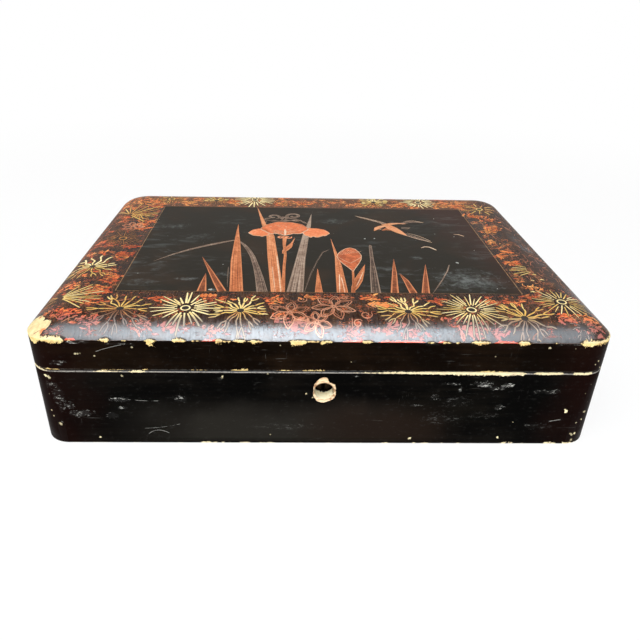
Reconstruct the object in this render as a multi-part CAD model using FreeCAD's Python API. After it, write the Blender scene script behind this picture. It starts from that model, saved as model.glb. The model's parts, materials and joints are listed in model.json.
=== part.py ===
import FreeCAD, Part
import math
import os

# Lacquered writing box with a hinged lid: a shallow case of thin boards, finger-jointed at
# the corners, with a raised inner lip, two let-in butt hinges at the back, a small box lock
# at the front, and a fitted centre bay that holds an inkstone and a water dropper.
# Millimetres. +X to the right, +Y to the back, +Z up. The origin is the middle of the
# rest face. Every piece is one STEP file in parts/.

V = FreeCAD.Vector

# ---- Case, outside -------------------------------------------------------------------
WIDTH = 300.0            # along X
DEPTH = 215.0            # along Y
SEAM_Z = 48.0            # height of the line where the lid opens
ARRIS_Z = 66.0           # height of the sharp edge round the crowned top
CROWN_RISE = 8.0         # from that edge up to the flat of the top
CROWN_RUN = 18.0         # width of the rounded band round the flat
CROWN_CORNER_R = 7.0     # plan corner of the flat of the top
CORNER_R = 14.0          # plan corner of the case
SEAM_BREAK = 0.6         # broken edge each side of the seam
FOOT_BREAK = 0.8         # broken edge round the rest face
WALL = 9.0               # thickness of the boards round the case
FINGER_H = 10.0          # wished height of a joint finger

# ---- Boards inside the outline -------------------------------------------------------
PANEL_EDGE = 2.0         # upright edge of the top panel below the sharp edge
PANEL_STEP = 2.0         # step of the top panel down inside the lid boards
BOTTOM_T = 6.0           # bottom board
REBATE = 4.5             # how far the bottom board runs under the walls
LINING_T = 3.0           # lining strips inside the base
LIP_RISE = 3.0           # how far the strips stand up past the seam
LIP_GAP = 0.4            # between the standing lip and the lid
EDGE_BREAK = 1.0         # broken top edges of the lip and the partitions
PARTITION_T = 4.0
PARTITION_H = 30.0
PARTITION_X = 62.0       # middle of a partition from the middle of the box
HOUSING = 1.2            # depth of the partition's groove in the lining

# ---- Contents of the centre bay ------------------------------------------------------
STONE_W = 73.0           # a 4 by 2.4 sun inkstone
STONE_L = 121.0
STONE_H = 20.0
STONE_R = 8.0
STONE_RIM = 6.0
WELL_R = 5.0             # plan corners inside the rim
LAND_DEPTH = 1.6         # grinding face below the rim
POOL_DEPTH = 9.0         # ink pool below the rim
POOL_L = 18.0            # flat floor of the ink pool
SLOPE_L = 24.0           # slope from the grinding face down to the pool
SLOPE_SWELL = 1.1        # the slope's middle above a straight line
DROPPER_W = 46.0
DROPPER_L = 34.0
DROPPER_H = 22.0
DROPPER_R = 8.0
DROPPER_WALL = 1.2
DROPPER_HOLE_R = 1.5
POUR_INSET = 6.5         # pouring hole from the dropper's two near sides
BED_T = 8.0              # fitted board round the stone and the dropper
BED_GAP = 0.3            # round the bed and round what stands in it

# ---- Hinges --------------------------------------------------------------------------
HINGE_END = 60.0         # middle of a hinge from the side of the box
HINGE_L = 36.0
PIN_INSET = 2.1          # pin axis from the back face
KNUCKLE_R = 1.8
PIN_R = 0.8
KNUCKLES = 3
LEAF_T = 1.0
LEAF_MARGIN = 1.0        # wood left between a leaf and the inner face
LEAF_RELIEF = 0.05       # leaf face below the edge of its board
BEVEL_DEG = 50.0         # back edges fall away from the pin by this much each
BEVEL_RELIEF = 0.1       # the bevels start this far in front of the pin axis
RUN = 0.04               # radial clearance of the pin in its knuckles
SIDE_RUN = 0.25          # clearance beside moving metal

# ---- Lock ----------------------------------------------------------------------------
KEY_X = 1.5              # middle of the keyhole from the middle of the box
KEY_DROP = 12.6          # middle of the keyhole below the seam
KEYHOLE_R = 5.25         # bore through the front board
PLATE_T = 1.2            # sheet that the lock is made of
LOCK_W = 44.0
LOCK_BELOW = 13.5        # case below the keyhole's middle
LOCK_TOP_GAP = 0.5       # case top below the seam
EAR_W = 9.0              # side ears of the front plate
EYE_X = 10.0             # the strike's eyes from the keyhole's middle
EYE_T = 2.0              # eye along X
EYE_LEG = 0.9            # eye's legs along Y
EYE_BAR = 1.2            # bottom bar of an eye
BOLT_T = 1.8
BOLT_THROW = 5.0
BOLT_LOW = 2.8           # lower edge of the bolt above the keyhole's middle
BOLT_BAR_H = 4.0
BOLT_TAIL = 1.5          # metal left past the right-hand stud slot
TALON_R = 2.6
POST_W = 3.0
STUD_R = 0.9
KEY_PIN_R = 1.1
PLATE_HOLE_R = 2.4
BIT_SLOT_W = 2.0
BIT_REACH = 6.2
SPRING_T = 0.5
SPRING_R = 8.0
SPRING_W = 3.0
SPRING_LEG = 5.0
SPRING_TAIL = 3.0
BOLT_RUN = 0.3           # clearance round the bolt and the eyes
SPRING_RUN = 0.05        # spring's crest below the bolt
STRIKE_GAP = 0.7         # strike above the lock case
STRIKE_W = 44.0
FLANGE_H = 11.0

# ---- Screws: (head radius, shank radius, length) -------------------------------------
HINGE_SCREW = (1.5, 0.8, 7.0)
LOCK_SCREW = (1.8, 1.0, 6.2)
SCREW_SIDES = 12         # small screws are drawn many-sided, not round

# ---- Worked out ----------------------------------------------------------------------
TOP_Z = ARRIS_Z + CROWN_RISE
LID_WALL_TOP = ARRIS_Z - PANEL_EDGE
LID_CEILING = LID_WALL_TOP - PANEL_STEP
CROWN_R = (CROWN_RUN ** 2 + CROWN_RISE ** 2) / (2.0 * CROWN_RISE)
HALF_X = WIDTH / 2.0
HALF_Y = DEPTH / 2.0
HINGE_X = HALF_X - HINGE_END
IN_X = HALF_X - WALL
IN_Y = HALF_Y - WALL
BAY_X = IN_X - LINING_T
BAY_Y = IN_Y - LINING_T
FLOOR_Z = BOTTOM_T
LIP_TOP = SEAM_Z + LIP_RISE
PIN_Y = HALF_Y - PIN_INSET
LEAF_W = WALL - PIN_INSET - LEAF_MARGIN
KEY_Z = SEAM_Z - KEY_DROP
CASE_FRONT = -IN_Y
CASE_IN = CASE_FRONT + PLATE_T
EYE_D = BOLT_T + 2.0 * (BOLT_RUN + EYE_LEG)
CASE_DEPTH = EYE_D + 2.0 * BOLT_RUN
CAP_IN = CASE_IN + CASE_DEPTH
CAP_OUT = CAP_IN + PLATE_T
LOCK_MID = (CASE_IN + CAP_IN) / 2.0
CASE_TOP = SEAM_Z - LOCK_TOP_GAP
CASE_LOW = KEY_Z - LOCK_BELOW
CASE_HALF = LOCK_W / 2.0
CASE_ROOF = CASE_TOP - PLATE_T
BAR_LOW = KEY_Z + BOLT_LOW
BAR_TOP = BAR_LOW + BOLT_BAR_H
EYE_LOW = BAR_TOP + BOLT_RUN
WINDOW_LOW = EYE_LOW + EYE_BAR
NOSE_LOW = WINDOW_LOW + BOLT_RUN
NOSE_TOP = CASE_ROOF - BOLT_RUN
STRIKE_LOW = CASE_TOP + STRIKE_GAP
FAR = 2.0 * (WIDTH + DEPTH)   # longer than anything in the box
OVER = 1.0                    # how far a cutter runs out past a face


# ---- Small helpers -------------------------------------------------------------------
def block(x0, x1, y0, y1, z0, z1):
    return Part.makeBox(x1 - x0, y1 - y0, z1 - z0, V(x0, y0, z0))


def fused(shapes):
    whole = shapes[0]
    if len(shapes) > 1:
        whole = whole.fuse(shapes[1:])
    return whole.removeSplitter()


def cut_all(shape, cutters):
    return shape.cut(cutters).removeSplitter()


def rounded_wire(half_x, half_y, radius, z):
    """A rectangle with round corners, level at z."""
    edges = []
    corners = ((1, -1, -90.0), (1, 1, 0.0), (-1, 1, 90.0), (-1, -1, 180.0))
    start = V(-half_x + radius, -half_y, z)
    for sign_x, sign_y, angle in corners:
        centre = V(sign_x * (half_x - radius), sign_y * (half_y - radius), z)
        points = [centre + polar(radius, angle + turn) for turn in (0.0, 45.0, 90.0)]
        edges.append(Part.LineSegment(start, points[0]).toShape())
        edges.append(Part.Arc(*points).toShape())
        start = points[2]
    return Part.Wire(edges)


def polar(radius, degrees):
    turn = math.radians(degrees)
    return V(radius * math.cos(turn), radius * math.sin(turn), 0.0)


def rounded_block(half_x, half_y, radius, z0, z1):
    return Part.Face(rounded_wire(half_x, half_y, radius, z0)).extrude(V(0, 0, z1 - z0))


def flat_face(points):
    return Part.Face(Part.makePolygon(points + points[:1]))


def profile_block(points, along):
    """A closed polygon of points, pushed along a vector."""
    return flat_face(points).extrude(along)


def slot_hole(x0, x1, z, radius, y0, y1):
    """A level round-ended slot through Y, between two end centres."""
    ends = [Part.makeCylinder(radius, y1 - y0, V(x, y0, z), V(0, 1, 0)) for x in (x0, x1)]
    return ends[0].fuse([ends[1], block(x0, x1, y0, y1, z - radius, z + radius)])


def many_sided(levels):
    """A solid of flat faces through rings of SCREW_SIDES corners, each (height, radius)."""
    turns = [360.0 * i / SCREW_SIDES for i in range(SCREW_SIDES)]
    rings = [[polar(radius, turn) + V(0, 0, z) for turn in turns] for z, radius in levels]
    faces = [flat_face(rings[0][::-1]), flat_face(rings[-1])]
    for low, high in zip(rings, rings[1:]):
        faces += [flat_face([low[i - 1], low[i], high[i], high[i - 1]]) for i in range(SCREW_SIDES)]
    return Part.makeSolid(Part.makeShell(faces))


def screw(sizes, plate, head, into):
    """A wood screw, its countersunk head flush in a plate at the point head, running along into."""
    head_r, shank_r, length = sizes
    body = many_sided([(0.0, head_r), (plate, shank_r), (length, shank_r)])
    body.Placement = FreeCAD.Placement(head, FreeCAD.Rotation(V(0, 0, 1), into))
    return body


# ---- Outer forms ---------------------------------------------------------------------
def outline(z, inset):
    return rounded_wire(HALF_X - inset, HALF_Y - inset, CORNER_R - inset, z)


def base_form():
    """The base's outside: upright, with broken edges at the foot and at the seam."""
    levels = [(0.0, FOOT_BREAK), (FOOT_BREAK, 0.0), (SEAM_Z - SEAM_BREAK, 0.0), (SEAM_Z, SEAM_BREAK)]
    return Part.makeLoft([outline(z, inset) for z, inset in levels], True, True)


def lid_form():
    """The lid's upright outside, from the seam to the underside of the top panel."""
    levels = [(SEAM_Z, SEAM_BREAK), (SEAM_Z + SEAM_BREAK, 0.0), (LID_WALL_TOP, 0.0)]
    return Part.makeLoft([outline(z, inset) for z, inset in levels], True, True)


def crown(sections=9):
    """The rounded band and the flat: sections of one arc, sharp at the lower edge."""
    last = math.asin(CROWN_RUN / CROWN_R)
    wires = []
    for i in range(sections):
        turn = last * (1.0 - i / (sections - 1.0))
        inset = CROWN_RUN - CROWN_R * math.sin(turn)
        z = TOP_Z - CROWN_R * (1.0 - math.cos(turn))
        radius = CORNER_R + (CROWN_CORNER_R - CORNER_R) * inset / CROWN_RUN
        wires.append(rounded_wire(HALF_X - inset, HALF_Y - inset, radius, z))
    return Part.makeLoft(wires, True, False)


# ---- Finger-jointed boards -----------------------------------------------------------
def joint_levels(z0, z1):
    """Heights that divide a corner into an odd number of fingers."""
    count = 2 * max(1, round((z1 - z0) / (2.0 * FINGER_H))) + 1
    return [z0 + (z1 - z0) * i / count for i in range(count + 1)]


def corner_posts(z0, z1, first):
    """The corner squares of every second finger, starting with finger number first."""
    levels = joint_levels(z0, z1)
    posts = []
    for i in range(first, len(levels) - 1, 2):
        for x0, x1 in ((-HALF_X, -IN_X), (IN_X, HALF_X)):
            for y0, y1 in ((-HALF_Y, -IN_Y), (IN_Y, HALF_Y)):
                posts.append(block(x0, x1, y0, y1, levels[i], levels[i + 1]))
    return posts


def wall_boards(form, z0, z1):
    """Front, back, left and right boards of one frame, with their fingers."""
    slabs = {
        "front": block(-HALF_X, HALF_X, -HALF_Y, -IN_Y, z0, z1),
        "back": block(-HALF_X, HALF_X, IN_Y, HALF_Y, z0, z1),
        "left": block(-HALF_X, -IN_X, -HALF_Y, HALF_Y, z0, z1),
        "right": block(IN_X, HALF_X, -HALF_Y, HALF_Y, z0, z1),
    }
    boards = {}
    for name, slab in slabs.items():
        missing = corner_posts(z0, z1, 1 if name in ("front", "back") else 0)
        boards[name] = cut_all(slab.common(form), missing)
    return boards


# ---- Hinges --------------------------------------------------------------------------
def knuckle_spans(centre_x):
    step = HINGE_L / KNUCKLES
    first = centre_x - HINGE_L / 2.0
    return [(first + i * step, first + (i + 1) * step) for i in range(KNUCKLES)]


def barrel(x0, x1, radius):
    return Part.makeCylinder(radius, x1 - x0, V(x0, PIN_Y, SEAM_Z), V(1, 0, 0))


def knuckle_room(x0, x1):
    """The square-cut space that a knuckle turns in."""
    half = KNUCKLE_R + SIDE_RUN
    return block(x0, x1, PIN_Y - half, HALF_Y + OVER, SEAM_Z - half, SEAM_Z + half)


def leaf_plate(centre_x, up):
    """The flat of a leaf: up is 1 for the lid's and -1 for the base's."""
    near = SEAM_Z + up * LEAF_RELIEF
    far = near + up * LEAF_T
    x0 = centre_x - HINGE_L / 2.0
    return block(x0, x0 + HINGE_L, PIN_Y - LEAF_W, PIN_Y, min(near, far), max(near, far))


def leaf_screws(centre_x, up):
    y = PIN_Y - (KNUCKLE_R + LEAF_W) / 2.0
    z = SEAM_Z + up * LEAF_RELIEF
    return [screw(HINGE_SCREW, LEAF_T, V(centre_x + side * HINGE_L / 3.0, y, z), V(0, 0, up))
            for side in (-1, 1)]


def hinge_leaf(centre_x, up):
    """One leaf: its plate, its own knuckles, and room for the other leaf's knuckles."""
    spans = knuckle_spans(centre_x)
    own = spans[1::2] if up > 0 else spans[0::2]
    other = spans[0::2] if up > 0 else spans[1::2]
    room = [knuckle_room(x0 - SIDE_RUN / 2.0, x1 + SIDE_RUN / 2.0) for x0, x1 in other]
    leaf = leaf_plate(centre_x, up).fuse([barrel(x0, x1, KNUCKLE_R) for x0, x1 in own])
    leaf = leaf.cut(room)
    bore = barrel(spans[0][0], spans[-1][1], PIN_R + (RUN if up > 0 else 0.0))
    return cut_all(leaf, [bore] + leaf_screws(centre_x, up))


def hinge_pin(centre_x):
    """The pin, tight in the base leaf's knuckles and free in the lid leaf's."""
    return barrel(centre_x - HINGE_L / 2.0, centre_x + HINGE_L / 2.0, PIN_R)


def hinge_recess(centre_x, up):
    """What a board loses for one hinge: leaf mortise, knuckle groove and screw holes."""
    ends = HINGE_L / 2.0 + SIDE_RUN
    plate = leaf_plate(centre_x, up)
    groove = knuckle_room(centre_x - ends, centre_x + ends)
    relief = plate.copy()
    relief.translate(V(0, 0, -up * LEAF_RELIEF))
    return [plate, relief, groove] + leaf_screws(centre_x, up)


def back_bevel(up):
    """The wedge that the back edge loses, so that the lid can fall past upright."""
    start = PIN_Y - BEVEL_RELIEF
    run = PIN_INSET + BEVEL_RELIEF
    rise = up * run * math.tan(math.radians(BEVEL_DEG))
    points = [V(-FAR, start, SEAM_Z), V(-FAR, HALF_Y, SEAM_Z), V(-FAR, HALF_Y, SEAM_Z + rise)]
    return profile_block(points, V(2.0 * FAR, 0, 0))


def hinge_screws(up):
    return leaf_screws(-HINGE_X, up) + leaf_screws(HINGE_X, up)


# ---- Base ----------------------------------------------------------------------------
def bottom_board():
    inset = WALL - REBATE
    return rounded_block(HALF_X - inset, HALF_Y - inset, CORNER_R - inset, 0.0, BOTTOM_T)


def keyhole_bore():
    return Part.makeCylinder(KEYHOLE_R, FAR, V(KEY_X, -HALF_Y - FAR / 2.0, KEY_Z), V(0, 1, 0))


def base_boards():
    boards = wall_boards(base_form(), 0.0, SEAM_Z)
    extra = {"front": lock_screws() + [keyhole_bore()], "back": [], "left": [], "right": []}
    for centre_x in (-HINGE_X, HINGE_X):
        extra["back"] += hinge_recess(centre_x, -1)
    return {name: cut_all(board, [bottom_board(), back_bevel(-1)] + extra[name])
            for name, board in boards.items()}


def lining_profile(run, inward):
    """A strip's section: run is the wall's inner face, inward the way to the middle."""
    inner = run + inward * LINING_T
    lip = run + inward * LIP_GAP
    edge = inward * EDGE_BREAK
    return [(run, FLOOR_Z), (inner, FLOOR_Z), (inner, LIP_TOP - EDGE_BREAK), (inner - edge, LIP_TOP),
            (lip + edge, LIP_TOP), (lip, LIP_TOP - EDGE_BREAK), (lip, SEAM_Z), (run, SEAM_Z)]


def mitre(along_x, side):
    """The wedge of floor plan that one strip may fill, up to the corners' 45 degree lines."""
    drop = IN_Y
    if along_x:
        points = [V(-IN_X, side * IN_Y, 0), V(IN_X, side * IN_Y, 0),
                  V(IN_X - drop, 0, 0), V(drop - IN_X, 0, 0)]
    else:
        points = [V(side * IN_X, -IN_Y, 0), V(side * IN_X, IN_Y, 0), V(side * (IN_X - drop), 0, 0)]
    return profile_block(points, V(0, 0, TOP_Z))


def lining_strips():
    strips = {}
    for name, side in (("front", -1), ("back", 1)):
        section = [V(-IN_X, y, z) for y, z in lining_profile(side * IN_Y, -side)]
        strips[name] = profile_block(section, V(2.0 * IN_X, 0, 0)).common(mitre(True, side))
    for name, side in (("left", -1), ("right", 1)):
        section = [V(x, -IN_Y, z) for x, z in lining_profile(side * IN_X, -side)]
        strips[name] = profile_block(section, V(0, 2.0 * IN_Y, 0)).common(mitre(False, side))
    grooves = [partition(side) for side in (-1, 1)]
    strips["front"] = cut_all(strips["front"], grooves + [lock_room()])
    strips["back"] = cut_all(strips["back"], grooves)
    return strips


def partition(side):
    """An upright divider with broken top edges, its ends let into the lining."""
    end = BAY_Y + HOUSING
    x = side * PARTITION_X
    half = PARTITION_T / 2.0
    flat = half - EDGE_BREAK
    top = FLOOR_Z + PARTITION_H
    shoulder = top - EDGE_BREAK
    section = [(-half, FLOOR_Z), (half, FLOOR_Z), (half, shoulder),
               (flat, top), (-flat, top), (-half, shoulder)]
    return profile_block([V(x + across, -end, z) for across, z in section], V(0, 2.0 * end, 0))


# ---- Centre bay ----------------------------------------------------------------------
def bay_places():
    """Y of the stone's and the dropper's middles: one margin behind the lock, between and after."""
    front = CAP_OUT
    back = BAY_Y - BED_GAP
    margin = (back - front - STONE_L - DROPPER_L) / 3.0
    return front + margin + STONE_L / 2.0, back - margin - DROPPER_L / 2.0


def moved(shape, y):
    shape.translate(V(0, y, 0))
    return shape


def bed_board():
    """The fitted board: the stone and the dropper stand in its two cut-outs."""
    stone_y, dropper_y = bay_places()
    half_x = PARTITION_X - PARTITION_T / 2.0 - BED_GAP
    board = block(-half_x, half_x, BED_GAP - BAY_Y, BAY_Y - BED_GAP, FLOOR_Z, FLOOR_Z + BED_T)
    top = FLOOR_Z + BED_T + OVER
    stone = rounded_block(STONE_W / 2.0 + BED_GAP, STONE_L / 2.0 + BED_GAP, STONE_R + BED_GAP, 0.0, top)
    dropper = rounded_block(DROPPER_W / 2.0 + BED_GAP, DROPPER_L / 2.0 + BED_GAP,
                            DROPPER_R + BED_GAP, 0.0, top)
    return cut_all(board, [moved(stone, stone_y), moved(dropper, dropper_y)])


def inkstone():
    """A slab with a raised rim, a grinding face, and a pool that it slopes down to."""
    stone_y = bay_places()[0]
    top = FLOOR_Z + STONE_H
    slab = rounded_block(STONE_W / 2.0, STONE_L / 2.0, STONE_R, FLOOR_Z, top)
    half_x = STONE_W / 2.0 - STONE_RIM
    half_y = STONE_L / 2.0 - STONE_RIM
    well = rounded_block(half_x, half_y, WELL_R, FLOOR_Z, top + OVER)
    front = V(-half_x, -half_y, top - LAND_DEPTH)
    brow = V(-half_x, half_y - POOL_L - SLOPE_L, top - LAND_DEPTH)
    floor = V(-half_x, half_y - POOL_L, top - POOL_DEPTH)
    back = V(-half_x, half_y, top - POOL_DEPTH)
    slope = (brow + floor) * 0.5 + V(0, 0, SLOPE_SWELL)
    above = [V(-half_x, half_y, top + OVER), V(-half_x, -half_y, top + OVER)]
    corners = [floor, back] + above + [front, brow]
    edges = [Part.LineSegment(a, b).toShape() for a, b in zip(corners, corners[1:])]
    section = Part.Wire(edges + [Part.Arc(brow, slope, floor).toShape()])
    hollow = Part.Face(section).extrude(V(2.0 * half_x, 0, 0)).common(well)
    return moved(cut_all(slab, [hollow]), stone_y)


def water_dropper():
    """A closed metal vessel with an air hole in the middle and a pouring hole in a corner."""
    dropper_y = bay_places()[1]
    half_x = DROPPER_W / 2.0
    half_y = DROPPER_L / 2.0
    top = FLOOR_Z + DROPPER_H
    shoulder = DROPPER_WALL * 2.0
    levels = [(FLOOR_Z, 0.0), (top - shoulder, 0.0), (top, shoulder)]
    shell = Part.makeLoft([rounded_wire(half_x - i, half_y - i, DROPPER_R - i, z) for z, i in levels],
                          True, True)
    wall = DROPPER_WALL
    square = shoulder + (DROPPER_R - shoulder) * (1.0 - math.cos(math.radians(45.0)))
    room = block(square - half_x, half_x - square, square - half_y, half_y - square,
                 FLOOR_Z + wall, top - wall)
    places = [V(0, 0, top - wall), V(half_x - POUR_INSET, half_y - POUR_INSET, top - wall)]
    holes = [Part.makeCylinder(DROPPER_HOLE_R, wall + OVER, place) for place in places]
    return moved(cut_all(shell, [room] + holes), dropper_y)


# ---- Lock ----------------------------------------------------------------------------
def lock_room():
    """Space cleared in the front lining for the lock, and above it for the strike."""
    half = max(CASE_HALF + EAR_W, STRIKE_W / 2.0) + BOLT_RUN
    return block(KEY_X - half, KEY_X + half, -IN_Y, -BAY_Y, CASE_LOW - BOLT_RUN, LIP_TOP)


def lock_screws():
    """One screw through each ear of the lock case."""
    x = CASE_HALF + EAR_W / 2.0
    z = (CASE_LOW + CASE_TOP) / 2.0
    return [screw(LOCK_SCREW, PLATE_T, V(KEY_X + side * x, CASE_IN, z), V(0, -1, 0)) for side in (-1, 1)]


def lock_studs():
    """Two round studs that the bolt slides on, riveted through the cap."""
    return [Part.makeCylinder(STUD_R, CAP_OUT - CASE_IN, V(KEY_X + x, CASE_IN, bar_mid()), V(0, 1, 0))
            for x in stud_places()]


def stud_places():
    return (-EYE_X - STUD_R, EYE_X + EYE_T)


def bar_mid():
    return (BAR_LOW + BAR_TOP) / 2.0


def lock_case():
    """Front plate with ears, turned-in edges, keyhole, slots for the eyes, and studs."""
    ears = block(KEY_X - CASE_HALF - EAR_W, KEY_X + CASE_HALF + EAR_W, CASE_FRONT, CASE_IN,
                 CASE_LOW, CASE_TOP)
    tray = block(KEY_X - CASE_HALF, KEY_X + CASE_HALF, CASE_IN, CAP_IN, CASE_LOW, CASE_TOP)
    hollow = block(KEY_X - CASE_HALF + PLATE_T, KEY_X + CASE_HALF - PLATE_T, CASE_IN, CAP_IN,
                   CASE_LOW + PLATE_T, CASE_ROOF)
    walls = tray.cut(hollow)
    half_eye = EYE_T / 2.0 + BOLT_RUN
    slots = [block(KEY_X + x - half_eye, KEY_X + x + half_eye, LOCK_MID - EYE_D / 2.0 - BOLT_RUN / 2.0,
                   LOCK_MID + EYE_D / 2.0 + BOLT_RUN / 2.0, CASE_ROOF, CASE_TOP) for x in (-EYE_X, EYE_X)]
    hole = Part.makeCylinder(PLATE_HOLE_R, PLATE_T, V(KEY_X, CASE_FRONT, KEY_Z), V(0, 1, 0))
    bit = block(KEY_X - BIT_SLOT_W / 2.0, KEY_X + BIT_SLOT_W / 2.0, CASE_FRONT, CASE_IN,
                KEY_Z - BIT_REACH, KEY_Z)
    body = ears.fuse([walls] + lock_studs())
    return cut_all(body, slots + [hole, bit] + lock_screws())


def lock_cap():
    plate = block(KEY_X - CASE_HALF, KEY_X + CASE_HALF, CAP_IN, CAP_OUT, CASE_LOW, CASE_TOP)
    return cut_all(plate, lock_studs() + [key_pin()])


def key_pin():
    return Part.makeCylinder(KEY_PIN_R, CAP_OUT - CASE_FRONT, V(KEY_X, CASE_FRONT, KEY_Z), V(0, 1, 0))


def bolt_nose(eye_x):
    """A post up from the bar with a nose that slides into the eye on its right."""
    y0 = LOCK_MID - BOLT_T / 2.0
    y1 = LOCK_MID + BOLT_T / 2.0
    tip = KEY_X + eye_x - EYE_T / 2.0 - 2.0 * BOLT_RUN
    root = tip - BOLT_THROW
    post = block(root - POST_W, root, y0, y1, BAR_TOP, NOSE_TOP)
    return [post, block(root, tip, y0, y1, NOSE_LOW, NOSE_TOP)]


def lock_bolt():
    """The sliding bolt, drawn back: two noses, two stud slots and the key's talon."""
    y0 = LOCK_MID - BOLT_T / 2.0
    y1 = LOCK_MID + BOLT_T / 2.0
    noses = [piece for eye_x in (-EYE_X, EYE_X) for piece in bolt_nose(eye_x)]
    x0 = min(piece.BoundBox.XMin for piece in noses)
    x1 = KEY_X + stud_places()[1] + STUD_R + BOLT_RUN + BOLT_TAIL
    bar = block(x0, x1, y0, y1, BAR_LOW, BAR_TOP)
    talon = Part.makeCylinder(TALON_R, BOLT_T, V(KEY_X - BOLT_THROW / 2.0, y0, BAR_LOW), V(0, 1, 0))
    gap = STUD_R + BOLT_RUN / 2.0
    slots = [slot_hole(KEY_X + x - BOLT_THROW, KEY_X + x, bar_mid(), gap, y0, y1) for x in stud_places()]
    return cut_all(bar.fuse(noses), [talon] + slots)


def lock_spring():
    """A bent leaf: up the case wall, round, and along under the bolt's bar."""
    crest = BAR_LOW - SPRING_RUN
    wall_x = KEY_X - CASE_HALF + PLATE_T
    centre = V(wall_x + SPRING_R, LOCK_MID - SPRING_W / 2.0, crest - SPRING_R)
    along = V(0, SPRING_W, 0)
    outer = Part.makeCylinder(SPRING_R, SPRING_W, centre, V(0, 1, 0))
    inner = Part.makeCylinder(SPRING_R - SPRING_T, SPRING_W, centre, V(0, 1, 0))
    quarter = block(wall_x, centre.x, centre.y, centre.y + along.y, centre.z, crest)
    bend = outer.cut(inner).common(quarter)
    leg = block(wall_x, wall_x + SPRING_T, centre.y, centre.y + along.y, centre.z - SPRING_LEG, centre.z)
    tail = block(centre.x, centre.x + SPRING_TAIL, centre.y, centre.y + along.y, crest - SPRING_T, crest)
    return fused([bend, leg, tail])


def strike_screws():
    z = STRIKE_LOW + (PLATE_T + FLANGE_H) / 2.0
    return [screw(LOCK_SCREW, PLATE_T, V(KEY_X + side * STRIKE_W / 3.0, CASE_IN, z), V(0, -1, 0))
            for side in (-1, 1)]


def strike_eye(eye_x):
    """A closed eye that hangs from the strike and drops through the lock's roof."""
    x0 = KEY_X + eye_x - EYE_T / 2.0
    loop = block(x0, x0 + EYE_T, LOCK_MID - EYE_D / 2.0, LOCK_MID + EYE_D / 2.0, EYE_LOW, STRIKE_LOW)
    half = EYE_D / 2.0 - EYE_LEG
    window = block(x0, x0 + EYE_T, LOCK_MID - half, LOCK_MID + half, WINDOW_LOW, STRIKE_LOW)
    return loop.cut(window)


def lock_strike():
    """An angle plate inside the lid's front board, with two eyes."""
    x0 = KEY_X - STRIKE_W / 2.0
    x1 = KEY_X + STRIKE_W / 2.0
    shelf = block(x0, x1, CASE_FRONT, CAP_IN, STRIKE_LOW, STRIKE_LOW + PLATE_T)
    flange = block(x0, x1, CASE_FRONT, CASE_IN, STRIKE_LOW, STRIKE_LOW + FLANGE_H)
    body = shelf.fuse([flange] + [strike_eye(x) for x in (-EYE_X, EYE_X)])
    return cut_all(body, strike_screws())


# ---- Lid -----------------------------------------------------------------------------
def lid_boards():
    boards = wall_boards(lid_form(), SEAM_Z, LID_WALL_TOP)
    extra = {"front": strike_screws(), "back": [], "left": [], "right": []}
    for centre_x in (-HINGE_X, HINGE_X):
        extra["back"] += hinge_recess(centre_x, 1)
    return {name: cut_all(board, [back_bevel(1)] + extra[name]) for name, board in boards.items()}


def top_panel():
    """The crowned top: rounded band, upright edge, and a step down inside the boards."""
    edge = rounded_block(HALF_X, HALF_Y, CORNER_R, LID_WALL_TOP, ARRIS_Z)
    step = block(-IN_X, IN_X, -IN_Y, IN_Y, LID_CEILING, LID_WALL_TOP)
    return crown().fuse([edge, step]).removeSplitter()


# ---- All pieces ----------------------------------------------------------------------
def all_parts():
    parts = {"base_bottom_board": bottom_board()}
    for name, board in base_boards().items():
        parts[f"base_{name}_board"] = board
    for name, strip in lining_strips().items():
        parts[f"{name}_lip_strip"] = strip
    parts["left_partition"] = partition(-1)
    parts["right_partition"] = partition(1)
    parts["stone_bed_board"] = bed_board()
    parts["inkstone"] = inkstone()
    parts["water_dropper"] = water_dropper()
    parts["lid_top_panel"] = top_panel()
    for name, board in lid_boards().items():
        parts[f"lid_{name}_board"] = board
    for name, centre_x in (("left", -HINGE_X), ("right", HINGE_X)):
        parts[f"{name}_hinge_base_leaf"] = hinge_leaf(centre_x, -1)
        parts[f"{name}_hinge_lid_leaf"] = hinge_leaf(centre_x, 1)
        parts[f"{name}_hinge_pin"] = hinge_pin(centre_x)
    parts["base_hinge_screws"] = Part.makeCompound(hinge_screws(-1))
    parts["lid_hinge_screws"] = Part.makeCompound(hinge_screws(1))
    parts["lock_case"] = lock_case()
    parts["lock_cap"] = lock_cap()
    parts["lock_key_pin"] = key_pin()
    parts["lock_bolt"] = lock_bolt()
    parts["lock_spring"] = lock_spring()
    parts["lock_screws"] = Part.makeCompound(lock_screws())
    parts["lock_strike"] = lock_strike()
    parts["strike_screws"] = Part.makeCompound(strike_screws())
    return parts


def main():
    os.makedirs("parts", exist_ok=True)
    for name, shape in all_parts().items():
        shape.exportStep(f"parts/{name}.step")
        print(name, len(shape.Solids), round(shape.Volume, 1), shape.isValid())


main()
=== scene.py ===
import contextlib
import functools
import json
import math
import random

import bmesh
import bpy
import numpy as np
from mathutils import Matrix, Vector, noise


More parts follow.
